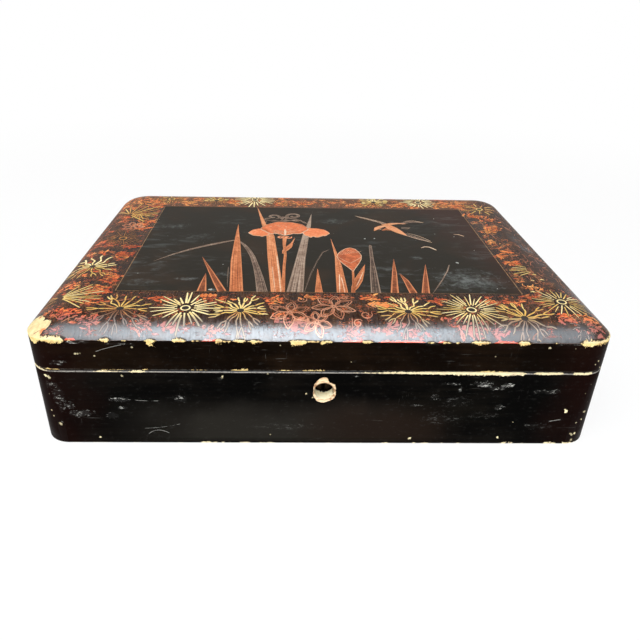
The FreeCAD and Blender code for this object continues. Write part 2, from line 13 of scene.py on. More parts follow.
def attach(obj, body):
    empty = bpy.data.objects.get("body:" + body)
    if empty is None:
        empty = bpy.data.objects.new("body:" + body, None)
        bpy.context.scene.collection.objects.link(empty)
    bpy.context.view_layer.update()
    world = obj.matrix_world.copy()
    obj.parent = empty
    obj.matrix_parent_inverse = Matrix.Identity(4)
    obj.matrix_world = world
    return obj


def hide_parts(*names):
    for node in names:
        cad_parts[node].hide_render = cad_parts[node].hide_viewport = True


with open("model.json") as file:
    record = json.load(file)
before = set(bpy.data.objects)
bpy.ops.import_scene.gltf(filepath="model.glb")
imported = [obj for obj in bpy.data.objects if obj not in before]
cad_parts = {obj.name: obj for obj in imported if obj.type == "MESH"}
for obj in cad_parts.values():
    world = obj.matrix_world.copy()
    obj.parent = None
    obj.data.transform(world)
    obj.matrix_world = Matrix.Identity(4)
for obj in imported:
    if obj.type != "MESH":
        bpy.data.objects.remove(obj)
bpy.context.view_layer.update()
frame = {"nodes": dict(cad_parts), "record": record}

# The looks of a lacquered writing box: worn black lacquer over a cream ground, with gold,
# copper and orange ornament on the crowned lid. Sizes here are millimetres in the row frame
# (+X right, +Y back, +Z up) and become metres only where a mesh or an object is made.

MM = 0.001
NODES = frame["nodes"]
TURN = 2 * math.pi

# ---- Sizes of the case, as the CAD has them ----------------------------------------------
HALF_X, HALF_Y = 150, 107.5
CORNER_R, FLAT_CORNER_R = 14, 7        # of the outline, and of the flat inside the crown
CORNER_X, CORNER_Y = HALF_X - CORNER_R, HALF_Y - CORNER_R      # middle of a rounded corner
SEAM_Z, ARRIS_Z = 48, 66               # where the lid meets the base; the crown's sharp edge
PANEL_LOW, CEILING_Z = 64, 62          # the top panel stands on the boards and steps inside them
IN_X, IN_Y = 141, 98.5                 # inside the boards
CROWN_RUN, CROWN_RISE = 18, 8
CROWN_R = (CROWN_RUN ** 2 + CROWN_RISE ** 2) / (2 * CROWN_RISE)
KEY_X, KEY_Z, KEY_R = 1.5, 35.4, 5.25  # the keyhole's bore
LINE_INSET = 38.1                      # from the outline to the gold line round the flat
LINE_X, LINE_Y = HALF_X - LINE_INSET, HALF_Y - LINE_INSET
PAINT_ROOM = 0.14                      # the flat stays this far below the CAD's, for the paint
PAINT_EDGE = 0.35                      # the paint ends this far inside the outline
SPAN = (-HALF_X, HALF_X)                # of the front, for curves along it

# ---- Wear, as places and sizes; (x, ...) where it runs along the front's edges ------------
ARRIS_CHIPS = (            # x, half length, reach above the edge, reach below it
    (-135.5, 8.5, 2.6, 2), (-125.4, 1, 0.2, 0.4), (-108, 2.6, 1.4, 1.3), (-99, 1.2, 0.2, 0.5),
    (-85.3, 2, 0.9, 2.9), (-71.4, 2.9, 1.4, 0.9), (-63, 2.6, 0.4, 0.4), (-51.2, 2.6, 1, 1.6),
    (-46.8, 0.8, 0.5, 0.8), (-40.8, 3, 1, 0.8), (-33.8, 2.9, 0.9, 1.3), (-12.2, 5, 0.9, 2.3),
    (-4.5, 3.6, 0.5, 0.5), (1.8, 2.8, 0.7, 1.2), (22.2, 2.5, 0.9, 1.2), (54.2, 1.3, 0.5, 0.9),
    (62.1, 1.7, 0.7, 0.8), (68.2, 0.7, 0.4, 0.6), (79.7, 4.6, 1.2, 1.2), (88.6, 0.7, 0.2, 0.4),
    (101.4, 3.2, 1.2, 1.4), (117.5, 0.8, 0.4, 0.4), (137.5, 7.5, 2, 1.7),
)
RED_EDGE = (               # x, half length of the red lacquer that shows at the arris
    (-55, 5), (-125, 3), (15, 5.5), (39.5, 12), (60, 2.5), (92, 6),
)
LID_SEAM = (               # x, how far the ground shows above the seam
    (-142, 0), (-140, 0.7), (-133, 0.6), (-130, 0), (-114, 0), (-112, 0.5), (-106, 0.5), (-98, 0.4),
    (-96, 0), (-91.5, 0), (-90.3, 0.8), (-88, 0.6), (-87, 0.1), (-68, 0.1), (-66, 0.5), (-59, 0.4),
    (-56, 0.2), (-47, 0.1), (-44.5, 0.9), (-38, 1.1), (-36, 0.1), (-24, 0.1), (-22, 0.6), (-15, 0.5),
    (-11, 0.2), (-9, 0.8), (0, 0.8), (3, 0.2), (34, 0.1), (60, 0.2), (76, 0.3), (81, 0.5), (86, 0.8),
    (95, 0.5), (100, 0.1), (117, 0.2), (132, 0.4), (141, 0.2),
)
BASE_SEAM = (              # x, how far the ground shows below the seam
    (-141, 0.5), (-136, 0.1), (-118, 0.1), (-112, 0.5), (-103, 0.3), (-99, 0.1), (-96, 0.9), (-92, 0.7),
    (-90, 0.1), (-87, 0.2), (-40, 0.1), (8, 0.1), (17, 0.25), (30, 0.5), (45, 0.65), (56, 0.85),
    (75, 1.25), (86, 1.25), (94, 1.7), (101, 1), (104, 1.3), (106, 0.2), (109.5, 0.1), (111, 0.75),
    (124, 0.85), (126, 0.1), (129.5, 0.1), (131, 0.8), (139, 0.8), (141, 0.1),
)
FOOT_WEAR = (              # x, how far the ground shows above the foot
    (-147, 0.8), (-140, 0.5), (-100, 0.6), (-64, 1), (-28, 0.9), (0, 0.7), (45, 0.9), (92, 0.7),
    (103, 1.3), (111, 1), (116, 0.7), (122, 1.2), (129, 1.4), (137, 1.2), (146, 1),
)
CORNER_PATCH = (           # middle and radius of the worn patches at the left front corner
    ((-145, -96.8, 69), 5.2), ((-139.8, -100.6, 70.6), 3.6), ((-143.2, -103.2, 66.4), 4.2),
)
TORN_RIM = (               # angle in degrees from the right, reach from the bore's middle
    (8, 5.9), (24, 6.4), (38, 7), (50, 6.8), (58, 6.6), (65, 6.3), (74, 7.2), (79, 8.4), (86, 8.9),
    (100, 8.9), (108, 8.5), (118, 7.6), (134, 7), (153, 6.2), (170, 5.5), (182, 5.6), (202, 6),
    (225, 6.4), (240, 6.9), (270, 6.9), (291, 6.4), (325, 6.6), (341, 6.3),
)
SCUFFS = (                 # on the base's front: x, z, half length, half height, strength
    (-138.5, 38.5, 4, 2.6, 0.7), (-131, 26, 3, 2.5, 0.6), (-125.5, 20.6, 7, 2.6, 1),
    (-104.5, 29.6, 6.5, 1.8, 1), (-104, 24.3, 3, 1.1, 0.8), (-110.5, 19, 4, 2.5, 0.5),
    (-73.5, 30.2, 3.6, 2.8, 0.8), (-52, 43.6, 1.6, 1.8, 0.9), (18.1, 45.3, 1.6, 0.8, 0.8),
    (67.3, 40.6, 5, 1.1, 0.9), (72.6, 37, 1.2, 1.8, 1), (84.5, 40.8, 6, 2.4, 1), (92.5, 38.4, 5, 2, 1),
    (97.8, 40.2, 3, 1.8, 0.9), (119, 36, 8, 1.8, 0.55), (95.5, 26, 3, 2.2, 0.55),
    (60, 32.6, 2.2, 2.2, 0.55), (49.5, 26.7, 4.5, 0.7, 0.7), (71, 29, 9, 4, 0.13), (66, 18, 14, 5, 0.09),
    (88, 20, 9, 3, 0.09), (-20, 12, 22, 3, 0.1), (118, 13, 9, 2.5, 0.12), (-136, 30, 3.5, 9, 0.5),
)
LID_SCUFFS = (             # the same on the lid's front
    (-133.5, 52.6, 5, 1.8, 0.8), (-101, 64, 7, 0.6, 0.7), (126, 65.2, 8, 0.5, 0.9),
    (-122, 64.8, 6, 0.8, 0.8),
)
BORDER_SCUFFS = (          # on the border's right side: x, y, half sizes, strength
    (138, -3, 5, 7, 1), (135.5, 13, 4, 6, 0.7), (139, -24, 4, 6, 0.6),
)
SMUDGES = (                # on the flat: x, y, half sizes, strength
    (88, -52, 22, 16, 1), (-53, -47, 9, 3, 1.1), (-75, -54, 8, 2.6, 1), (-100, -58, 9, 4, 0.6),
    (100, -20, 8, 5, 0.5), (-59.5, -67, 3, 1.6, 1.3), (61.5, -21, 4.5, 3, 0.9), (41, -38, 7, 4, 0.7),
    (50, -45, 8, 1.5, 0.7), (-96, 28, 12, 5, 0.5), (15, 42, 14, 6, 0.5), (-78, 10, 12, 6, 0.4),
)
BASE_CHIPS = (             # x, y, z, radius
    (-139.4, -107.2, 43.6, 1.3), (-140.8, -106.6, 44.2, 0.9), (-138.5, -107.3, 13.3, 1),
    (-51.2, -107.5, 44.6, 0.9), (-27.7, -107.5, 46.4, 0.5), (-7.9, -107.5, 34.1, 0.45),
    (-4.4, -107.5, 31.6, 0.4), (-26.7, -107.5, 6.5, 0.4), (49.5, -107.5, 4.3, 0.9),
    (98, -107.5, 4.8, 0.8), (131.8, -107.5, 23, 0.9), (131.3, -107.5, 24.2, 0.6),
    (104.5, -107.5, 15.6, 0.4), (143, -105.6, 21.6, 0.8), (142.4, -105.9, 16.6, 0.6),
    (139.6, -107, 15, 0.8), (138.4, -107.2, 7.2, 1.2), (140.4, -106.8, 7.5, 0.8),
    (139.5, -107.1, 2.8, 0.9), (142.1, -106.1, 39.9, 0.4), (139.8, -107, 34.6, 0.4),
    (143.1, -105.5, 28.1, 0.35), (-141, -106.5, 32.5, 0.4), (-142.1, -106.1, 21.5, 0.5),
    (-141.3, -106.5, 18, 0.5), (-118.5, -107.5, 4.3, 0.6), (-102, -107.5, 44.9, 0.6),
)
LID_CHIPS = (              # x, y, z, radius
    (-123.4, -107.5, 58, 0.7), (-122.2, -107.5, 58.2, 0.6), (-121, -107.5, 58.3, 0.3),
    (-114.1, -107.5, 56.9, 0.4), (-95, -107.5, 62.1, 0.6), (-21.2, -107.5, 63.8, 0.4),
    (114.3, -107.5, 63.4, 0.7), (127.9, -107.5, 63, 0.5), (87.8, -107.5, 57.9, 0.4),
    (142.2, -106, 54.7, 0.5), (140.8, -106.6, 52.9, 0.4), (145.1, -104.1, 49.4, 0.8),
    (14.7, -107.5, 54.2, 0.4),
)
FLECKS = (                 # on the flat: x, y, z, radius
    (86, -28.1, 73.9, 0.9), (-57.2, -34, 73.9, 0.4), (-60.5, -67.2, 73.9, 1.1), (33, 9.5, 73.9, 0.8),
    (39.5, 10, 73.9, 0.6),
)
GLUE_SPOTS = (             # round the bore: x and z from its middle, radius
    (-4.6, 3.4, 1), (5.2, 0.6, 0.9), (5, -2.6, 0.8), (3.6, -5, 0.7), (-5.4, -1.2, 0.6),
)
BASE_SCRATCHES = (         # from (x, z), to (x, z), half width, bow
    ((-93.4, 5.2), (-81.2, 7.4), 0.22, 3), ((-95, 10.6), (-75, 13.6), 0.1, -0.7),
    ((118.6, 14.5), (131, 17.6), 0.3, 0.4), ((-109, 31.2), (-84, 29), 0.15, -0.8),
    ((-137.5, 15), (-135.6, 13), 0.2, 0.2),
)
LID_SCRATCHES = (((-113, 59.5), (-100, 63.5), 0.12, 0.3),)    # the same on the lid


# ---- Node building: arithmetic on a Value adds Math nodes to its material ------------------
class Value:
    """A socket with a number, and the Net that it belongs to."""

    def __init__(self, net, socket):
        self.net = net
        self.socket = socket

    def __add__(self, other):
        return self.net.math("ADD", self, other)

    def __sub__(self, other):
        return self.net.math("SUBTRACT", self, other)

    def __rsub__(self, other):
        return self.net.math("SUBTRACT", other, self)

    def __mul__(self, other):
        return self.net.math("MULTIPLY", self, other)

    def __truediv__(self, other):
        return self.net.math("DIVIDE", self, other)

    def __abs__(self):
        return self.net.math("ABSOLUTE", self)

    __radd__ = __add__


class Net:
    """A material and its nodes; x, y, z are a point's place in millimetres."""

    def __init__(self, name):
        self.material = bpy.data.materials.new(name)
        self.material.use_nodes = True
        self.tree = self.material.node_tree
        self.tree.nodes.clear()
        self.shader = self.node("BsdfPrincipled")
        self.out = self.node("OutputMaterial")
        self.tree.links.new(self.shader.outputs[0], self.out.inputs[0])
        coords = self.node("TexCoord")
        self.at = self.vector_math("SCALE", coords.outputs["Object"], scale=1 / MM)
        self.x, self.y, self.z = self.parts("SeparateXYZ", self.at)

    def node(self, kind, **inputs):
        """A new shader node with the named inputs set or linked."""
        node = self.tree.nodes.new("ShaderNode" + kind)
        for name, value in inputs.items():
            self.plug(value, node.inputs[name.replace("_", " ")])
        return node

    def plug(self, value, socket):
        """Links a socket or a Value, and sets anything else."""
        if isinstance(value, Value):
            value = value.socket
        if isinstance(value, bpy.types.NodeSocket):
            self.tree.links.new(value, socket)
        else:
            socket.default_value = value

    def parts(self, kind, source):
        """The numbers that a colour or a vector is made of."""
        node = self.node(kind)
        self.plug(source, node.inputs[0])
        return [Value(self, socket) for socket in node.outputs]

    def math(self, operation, *values, clamp=False):
        """The result of one Math node."""
        node = self.node("Math")
        node.operation = operation
        node.use_clamp = clamp
        for value, socket in zip(values, node.inputs):
            self.plug(value, socket)
        return Value(self, node.outputs[0])

    def vector_math(self, operation, *values, scale=None):
        """The output socket of one Vector Math node."""
        node = self.node("VectorMath")
        node.operation = operation
        for value, socket in zip(values, node.inputs):
            self.plug(value, socket)
        if scale is not None:
            node.inputs["Scale"].default_value = scale
        return node.outputs["Value"] if operation == "DISTANCE" else node.outputs[0]

    def low(self, a, b):
        return self.math("MINIMUM", a, b)

    def high(self, a, b):
        return self.math("MAXIMUM", a, b)

    def highest(self, values):
        return functools.reduce(self.high, values)

    def clamp(self, value):
        """The value, held between 0 and 1."""
        return self.math("MULTIPLY", value, 1, clamp=True)

    def hypot(self, a, b):
        return self.math("SQRT", a * a + b * b)

    def distance(self, place):
        """How far a point is from a place, in millimetres."""
        return Value(self, self.vector_math("DISTANCE", self.at, place))

    def step(self, value, start, end, out=(0, 1)):
        """Smooth from out[0] at start to out[1] at end."""
        node = self.node("MapRange", Value=value, From_Min=start, From_Max=end, To_Min=out[0], To_Max=out[1])
        node.interpolation_type = "SMOOTHSTEP"
        return Value(self, node.outputs["Result"])

    def stretched(self, size, turn=(0, 0, 0), shift=(0, 0, 0)):
        """Object coordinates in steps of size millimetres, for one number or one along each axis."""
        size = size if isinstance(size, tuple) else (size, size, size)
        scale = [1 / s for s in size]
        return self.node("Mapping", Vector=self.at, Scale=scale, Rotation=turn, Location=shift).outputs[0]

    def noise(self, size, detail=3, rough=0.55, warp=0, shift=(0, 0, 0), turn=(0, 0, 0)):
        """Cloud noise about 0.5, with features of the given size in millimetres."""
        node = self.node("TexNoise", Vector=self.stretched(size, turn, shift), Scale=1, Detail=detail,
                         Roughness=rough, Distortion=warp)
        return Value(self, node.outputs["Fac"])

    def patches(self, start, end, *sizes, **placing):
        """Smooth-edged patches of noise: 0 where it is below start, 1 where it is above end."""
        return self.step(self.noise(*sizes, **placing), start, end)

    def cells(self, size, shift=(0, 0, 0)):
        """Voronoi cells of the given size: the distance to each one's middle, and its own colour."""
        node = self.node("TexVoronoi", Vector=self.stretched(size, shift=shift), Scale=1)
        return Value(self, node.outputs["Distance"]), node.outputs["Color"]

    def curve(self, value, points):
        """A value along the front: points are (x, height), joined by straight lines."""
        node = self.node("FloatCurve")
        top = max(height for _, height in points)
        line = node.mapping.curves[0]
        width = SPAN[1] - SPAN[0]
        line.points[0].location = (0, points[0][1] / top)
        line.points[1].location = (1, points[-1][1] / top)
        for position, height in points[1:-1]:
            line.points.new((position - SPAN[0]) / width, height / top)
        for point in line.points:
            point.handle_type = "VECTOR"
        node.mapping.update()
        self.plug((value - SPAN[0]) / width, node.inputs["Value"])
        return Value(self, node.outputs[0]) * top

    def mix(self, factor, a, b):
        """Colours or colour sockets a and b, by factor."""
        node = self.tree.nodes.new("ShaderNodeMix")
        node.data_type = "RGBA"
        self.plug(factor, node.inputs[0])
        for value, socket in ((a, node.inputs[6]), (b, node.inputs[7])):
            self.plug((*value, 1) if isinstance(value, tuple) else value, socket)
        return node.outputs[2]

    def coats(self, colour, *layers):
        """A colour under coats of (factor, colour), each over the one before."""
        for factor, coat in layers:
            colour = self.mix(factor, colour, coat)
        return colour

    def blend(self, factor, a, b):
        """Numbers a and b, by factor."""
        return a + (b - a) * factor if isinstance(a, Value) else factor * (b - a) + a

    def ramp(self, factor, stops):
        """A colour from stops of (place, colour)."""
        node = self.node("ValToRGB", Fac=factor)
        band = node.color_ramp
        for place, _ in stops[1:-1]:
            band.elements.new(place)
        for element, (place, rgb) in zip(band.elements, stops):
            element.position = place
            element.color = (*rgb, 1)
        return node.outputs[0]

    def attribute(self, name):
        """The three numbers that a mesh's colour attribute holds."""
        node = self.node("Attribute")
        node.attribute_name = name
        return self.parts("SeparateColor", node.outputs["Color"])

    def near(self, place, radius, soft):
        """1 within radius of a place, 0 outside."""
        return self.step(self.distance(place), radius + soft, radius - soft)

    def scratch(self, a, b, half_width, bow):
        """1 along a thin bowed line from a to b, given as (x, z) on the front."""
        length = math.dist(a, b)
        ux, uz = (b[0] - a[0]) / length, (b[1] - a[1]) / length
        along = (self.x - a[0]) * ux + (self.z - a[1]) * uz
        across = (self.z - a[1]) * ux - (self.x - a[0]) * uz
        share = self.clamp(along / length)
        off = abs(across - share * (1 - share) * (4 * bow))
        ends = self.high(0 - along, along - length)
        return self.step(self.high(off, ends), half_width, half_width * 0.3)

    def finish(self, colour, roughness, height=None, depth=0.05, specular=0.1, metallic=0):
        """Sets the shader: height is a bump in millimetres times depth."""
        self.plug(colour, self.shader.inputs["Base Color"])
        self.plug(roughness, self.shader.inputs["Roughness"])
        self.shader.inputs["Specular IOR Level"].default_value = specular
        self.shader.inputs["Metallic"].default_value = metallic
        if height is not None:
            bump = self.node("Bump", Strength=1, Distance=depth * MM, Height=height)
            self.tree.links.new(bump.outputs[0], self.shader.inputs["Normal"])
        return self.material


# ---- Lacquer and its wear ------------------------------------------------------------------
GROUND = [(0.24, (0.30, 0.17, 0.07)), (0.36, (0.56, 0.37, 0.15)), (0.52, (0.68, 0.52, 0.21)),
          (0.72, (0.74, 0.61, 0.32))]
# Bare wood made paler than bare wood is, as painted light on the bore's lower wall.
LIT_SOFTWOOD = [(0.25, (0.70, 0.48, 0.24)), (0.40, (0.93, 0.80, 0.50)), (0.55, (0.97, 0.91, 0.64)),
            (0.80, (0.98, 0.95, 0.76))]
GESSO = [(0.25, (0.30, 0.14, 0.06)), (0.38, (0.54, 0.33, 0.18)), (0.52, (0.70, 0.53, 0.33)),
         (0.80, (0.78, 0.68, 0.42))]
LEAF = [(0.30, (0.20, 0.030, 0.012)), (0.45, (0.55, 0.085, 0.025)), (0.58, (0.80, 0.20, 0.050)),
        (0.75, (0.90, 0.42, 0.12))]
SLATE = [(0.3, (0.0095, 0.0090, 0.0085)), (0.7, (0.030, 0.0285, 0.0265))]


def inset_of(net):
    """How far a point lies inside the case's rounded outline."""
    qx, qy = abs(net.x) - CORNER_X, abs(net.y) - CORNER_Y
    out = net.hypot(net.high(qx, 0), net.high(qy, 0))
    return 0 - (out + net.low(net.high(qx, qy), 0) - CORNER_R)


def chip_curve(side):
    """The chips' reach along the front arris as curve points; side 0 is above it, 1 below."""
    points = [(-HALF_X, 0)]
    for x, half, *reach in ARRIS_CHIPS:
        points += [(x - half, 0), (x - half * 0.7, reach[side]), (x + half * 0.6, reach[side] * 0.8),
                   (x + half, 0)]
    points = sorted(points)
    return points + [(HALF_X, points[-1][1])]


def red_curve():
    """Where red lacquer shows along the front arris, as curve points."""
    points = []
    for x, half in RED_EDGE:
        points += [(x - half, 0), (x - half * 0.7, 1), (x + half * 0.8, 0.9), (x + half, 0)]
    return spread(sorted(points))


def spread(points):
    """Curve points from one end of the front to the other."""
    return [(-HALF_X, points[0][1]), *points, (HALF_X, points[-1][1])]


def from_seam(net, inset, beyond):
    """Distance from a board's edge at the seam, counted less along the mating rim."""
    return net.math("SQRT", inset * inset * 0.5 + net.math("POWER", net.high(beyond, 0), 2))


def wear_of(net, lid):
    """How far inside a worn patch a point is, in millimetres, with the ground showing above zero; how
    ragged the patches' borders are; how near the point is to the case's ends; and 1 on the front."""
    inset = inset_of(net)
    ragged = net.high((net.noise(1.3, 5, 0.7, 0.5) - 0.5) * 3.8 + 1, 0)
    patchy = net.noise(17, 2, 0.5, shift=(3.1, 0.7, 5.2))
    wander = net.x + (net.noise(2.3, 3, 0.6, shift=(2, 7, 1)) - 0.5) * 5
    front = net.step(net.y, -101, -104)
    corner = net.step(net.low(abs(net.x) - CORNER_X, abs(net.y) - CORNER_Y) + (patchy - 0.5) * 6, -3, 7)
    ends = net.step(abs(net.x) + (patchy - 0.5) * 30, 108, 142)

    def reach_of(unseen, points):
        return net.blend(front, net.high(unseen, 0), net.curve(wander, spread(points)))

    if lid:
        rise = net.z - ARRIS_Z
        above = net.step(rise, -0.02, 0.02)
        chipped = net.blend(above, net.curve(wander, chip_curve(1)), net.curve(wander, chip_curve(0)))
        other = net.high((patchy - 0.53) * 11, 0) + net.step(ragged, 1.25, 1.6) * 0.3
        reach = net.blend(front * (1 - corner), other + corner * 1.1, chipped)
        deep = reach * ragged - net.hypot(inset, rise)
        lobes = (net.noise(3.2, 2, 0.5, 0.3, shift=(1, 1, 1)) - 0.5) * 4.5
        for place, radius in CORNER_PATCH:
            deep = net.high(deep, radius + lobes - net.distance(place))
        seam = reach_of((patchy - 0.56) * 7, LID_SEAM)
        away = from_seam(net, inset, net.z - SEAM_Z - 0.6)
        deep = net.high(deep, seam * ragged * 1.1 - away - 0.42)
    else:
        seam = reach_of((patchy - 0.53) * 9, BASE_SEAM)
        away = from_seam(net, inset, SEAM_Z - 0.6 - net.z)
        deep = seam * (ragged * 0.8 + 0.15) - away - 0.22
        foot = reach_of((patchy - 0.5) * 6, FOOT_WEAR)
        broken = net.patches(0.47, 0.60, 5.5, 3, 0.65, shift=(8, 4, 1))
        deep = net.high(deep, foot * broken * (ragged * 0.7 + 0.7) - net.z - 0.1)
    return deep, ragged, ends, front


def ground_colour(net, deep):
    """The ground under the lacquer: browner at a chip's border, with grime in it."""
    grime = net.noise(2.4, 4, 0.6, 0.3, shift=(9, 2, 1))
    return net.mix(net.step(deep, 0, 0.13), (0.33, 0.16, 0.06), net.ramp(grime, GROUND))


def hair_scratches(net, size, strength):
    """Sparse hair scratches along one direction."""
    lines = net.patches(0.70, 0.76, size, 2, 0.5, 0.3, shift=(11, 3, 6))
    return lines * net.patches(0.50, 0.62, 22, 2, 0.5, shift=(5, 12, 1)) * strength


def scuff_patches(net, patches, across):
    """Clusters of fine pale nicks: each patch is x, its other coordinate, two half sizes, strength."""
    edge = net.noise(3.6, 4, 0.7, 0.6, shift=(6, 1, 4)) * 4.4 - 1.9
    covers = []
    for x, other, half_x, half_other, strength in patches:
        dx, dz = (net.x - x) / half_x, (across - other) / half_other
        covers.append(net.step(dx * dx + dz * dz + edge, 1.3, 0) * strength)
    return net.highest(covers)


def chips_at(net, chips):
    """Round nicks with uneven borders; the smallest are faint."""
    uneven = (net.noise(1.3, 3, 0.65, shift=(3, 4, 8)) - 0.56) * 3.4
    spots = []
    for *place, radius in chips:
        inside = radius + uneven * radius - net.distance(place)
        spots.append(net.step(inside, -0.12, 0.12) * min(radius * 1.4, 1))
    return net.highest(spots)


def base_black(net, tone, cloud):
    """The base's front: black, with a painted grey sheen low in the middle and ruddy to the right of it."""
    colour = net.mix(tone, (0.0010, 0.0009, 0.0008), (0.0038, 0.0030, 0.0022))
    # painted sheen: a greyer zone low on the front towards the middle; the ruddy tone shares the same low
    # zone
    low = net.step(net.z + (cloud - 0.5) * 22, 33, 15) * net.step(net.z, 0, 5)
    middle = net.step(abs(net.x + 22) + (cloud - 0.5) * 60, 100, 25)
    ruddy = net.step(abs(net.x - 30) + (cloud - 0.5) * 50, 52, 16)
    return net.coats(colour, (low * middle, (0.0135, 0.0122, 0.0098)),
                     (low * ruddy * 0.8, (0.0110, 0.0064, 0.0042)))


def board_lacquer(name, lid):
    """The upright sides of the lid or the base: near-black and warm, with fine nicks, a painted highlight
    line along the seam and, on the base, a painted sheen low on the front.
    """
    net = Net(name)
    deep, ragged, ends, front = wear_of(net, lid)
    cloud = net.noise(34, 3, 0.55, 0.4, shift=(4, 8, 2))
    streaks = net.noise((60, 60, 2.2), 3, 0.6, shift=(1, 5, 7))
    tone = net.step(cloud * 0.7 + streaks * 0.3, 0.42, 0.66)
    chips = chips_at(net, LID_CHIPS if lid else BASE_CHIPS)
    nicks = scuff_patches(net, LID_SCUFFS if lid else SCUFFS, net.z)
    marks = net.highest([net.scratch(*row) for row in (LID_SCRATCHES if lid else BASE_SCRATCHES)]) * front
    if lid:
        colour = net.mix(tone, (0.0026, 0.0013, 0.0006), (0.0078, 0.0040, 0.0018))
        # place, half height, start and strength of the painted highlight line along the seam chamfer
        sheen_line_z, sheen_line_half, sheen_line_from, sheen_line_strength = SEAM_Z + 0.75, 0.22, 0.6, 0.10
    else:
        colour = base_black(net, tone, cloud)
        marks = marks * net.patches(0.46, 0.60, 3.4, 4, 0.7, shift=(4, 1, 2))
        sheen_line_z, sheen_line_half, sheen_line_from, sheen_line_strength = SEAM_Z - 0.70, 0.30, 0.1, 0.55
    streaky = net.noise((8, 8, 2.2), 4, 0.72, 1.1, shift=(5, 5, 5), turn=(0, 0.25, 0))
    grit = net.step(abs(streaky - 0.5), 0.034, 0.012)
    grit = grit * net.patches(0.48, 0.58, (3.4, 3.4, 1.3), 4, 0.72, shift=(1, 8, 3)) * nicks * front
    hairs = net.high(hair_scratches(net, (14, 14, 0.35), 0.35), hair_scratches(net, (0.5, 0.5, 9), 0.25))
    film = net.patches(0.56, 0.75, (3, 3, 1.6), 5, 0.7)
    pale = net.patches(0.38, 0.60, 5, 2, 0.5, shift=(7, 3, 3))
    # painted highlight: a pale line along the seam chamfer, broken up along its length by the ragged noise
    rubbed = net.step(abs(net.z - sheen_line_z), sheen_line_half + 0.12, sheen_line_half - 0.12) * net.step(ragged, sheen_line_from, 1.2)
    colour = net.coats(
        colour,
        (ends * 0.8, (0.0060, 0.0014, 0.0008)),
        (film * 0.03 + nicks * front * 0.035, (0.34, 0.34, 0.32)),
        (net.high(hairs * 0.3, net.high(grit, marks * 0.45)), (0.56, 0.55, 0.51)),
        (chips * net.blend(pale, 0.45, 1), (0.80, 0.69, 0.42)),
        # the painted highlight line at the seam
        (rubbed * sheen_line_strength, (0.42, 0.39, 0.35)))
    worn = net.step(deep, -0.05, 0.05)
    ground = ground_colour(net, deep)
    if lid:
        colour = net.mix(worn, colour, ground)
    else:
        colour = net.mix(worn, colour, net.mix(0.5, ground, (0.76, 0.72, 0.54)))
        colour, worn = bore_wood(net, colour, worn)
    roughness = net.blend(worn, cloud * 0.22 + streaks * 0.12 + grit * 0.3 + 0.22, 0.62)
    skin = net.noise(1.6, 2, 0.5) * 0.18 + net.noise(24, 2, 0.5) * 1.6
    height = skin - (hairs + grit) * 0.5 - worn * 3 - chips * 2
    return net.finish(colour, roughness, height, 0.07, 0.010)


def bore_wood(net, colour, worn):
    """Bare softwood inside the keyhole: brightened below as painted light, with painted shade at the sides,
    above, and black behind.
    """
    dx, dz = net.x - KEY_X, net.z - KEY_Z
    inside = net.step(net.hypot(dx, dz), KEY_R + 0.10, KEY_R + 0.04) * net.step(net.y, -95, -97)
    fibre = net.noise((9, 1.6, 1), 4, 0.6, 0.5, shift=(2, 2, 8))
    depth = net.y + HALF_Y + (net.noise(1.5, 3, 0.65) - 0.5) * 3.4
    # painted shade: browner on the bore's left and right walls
    sides = net.step(abs(dx) + (fibre - 0.5) * 2, 4.3, 5) * net.step(depth, 0.6, 1.6)
    wood = net.coats(
        net.ramp(fibre, LIT_SOFTWOOD),
        (sides * 0.8, (0.16, 0.060, 0.018)),
        # painted shade: black deep inside the bore, and dark on its upper wall
        (net.step(depth, 6.1, 6.9), (0.005, 0.003, 0.002)),
        (net.step(dz, -0.2, 2.2) * net.step(depth, 0.4, 1.4), (0.02, 0.009, 0.004)))
    return net.mix(inside, colour, wood), net.high(worn, inside)


def torn_ground(name):
    """The surface left where the escutcheon was: gesso, glue stains and fibres of the board, with painted
    shade along the bore's upper edge.
    """
    net = Net(name)
    dx, dz = net.x - KEY_X, net.z - KEY_Z
    fibre = net.noise((5, 5, 0.8), 4, 0.65, 0.6)
    stain = net.patches(0.56, 0.66, 2.2, 3, 0.6, 0.8, shift=(1, 2, 3)) * net.step(dx, -2, 3)
    spots = [(net.near((KEY_X + x, -HALF_Y + 0.3, KEY_Z + z), radius, 0.6) * 0.85, (0.22, 0.085, 0.025))
             for x, z, radius in GLUE_SPOTS]
    # painted shade: darker brown round the bore's upper edge
    shaded = net.step(net.hypot(dx, dz), KEY_R + 0.7, KEY_R) * net.step(dz, -2, 1)
    colour = net.coats(net.ramp(fibre, GESSO), (stain * 0.7, (0.30, 0.12, 0.04)), *spots,
                       (shaded * 0.5, (0.25, 0.12, 0.05)))
    height = fibre * 2 + net.noise(0.8, 3, 0.6)
    return net.finish(colour, net.blend(fibre, 0.55, 0.9), height, 0.12)


def border_leaves(net, inset, back):
    """Ragged leaf colour between the rosettes: where it lies and its tint."""
    clumps = net.noise(9, 3, 0.55, 0.8, shift=(5, 3, 0))
    leafy = net.noise((2.8, 1.5, 2.2), 5, 0.75, 1.6, shift=(1, 9, 0))
    sides = net.step(abs(net.x), 106, 114)
    leaf = leafy + clumps * 0.55 + back * 0.055 - net.step(net.y, 86, 95) * 0.075 + sides * 0.02
    leaf = net.step(leaf, 0.885, 0.905) * net.step(inset, 1, 3)
    leaf = leaf * net.step(inset, LINE_INSET - 0.8, LINE_INSET - 2.2)
    far = net.high(net.step(net.x, 96, 112) * net.step(net.y, -72, -56), back)
    return leaf, net.ramp(net.noise(3.2, 3, 0.6, shift=(8, 2, 6)) + far * 0.12, LEAF)


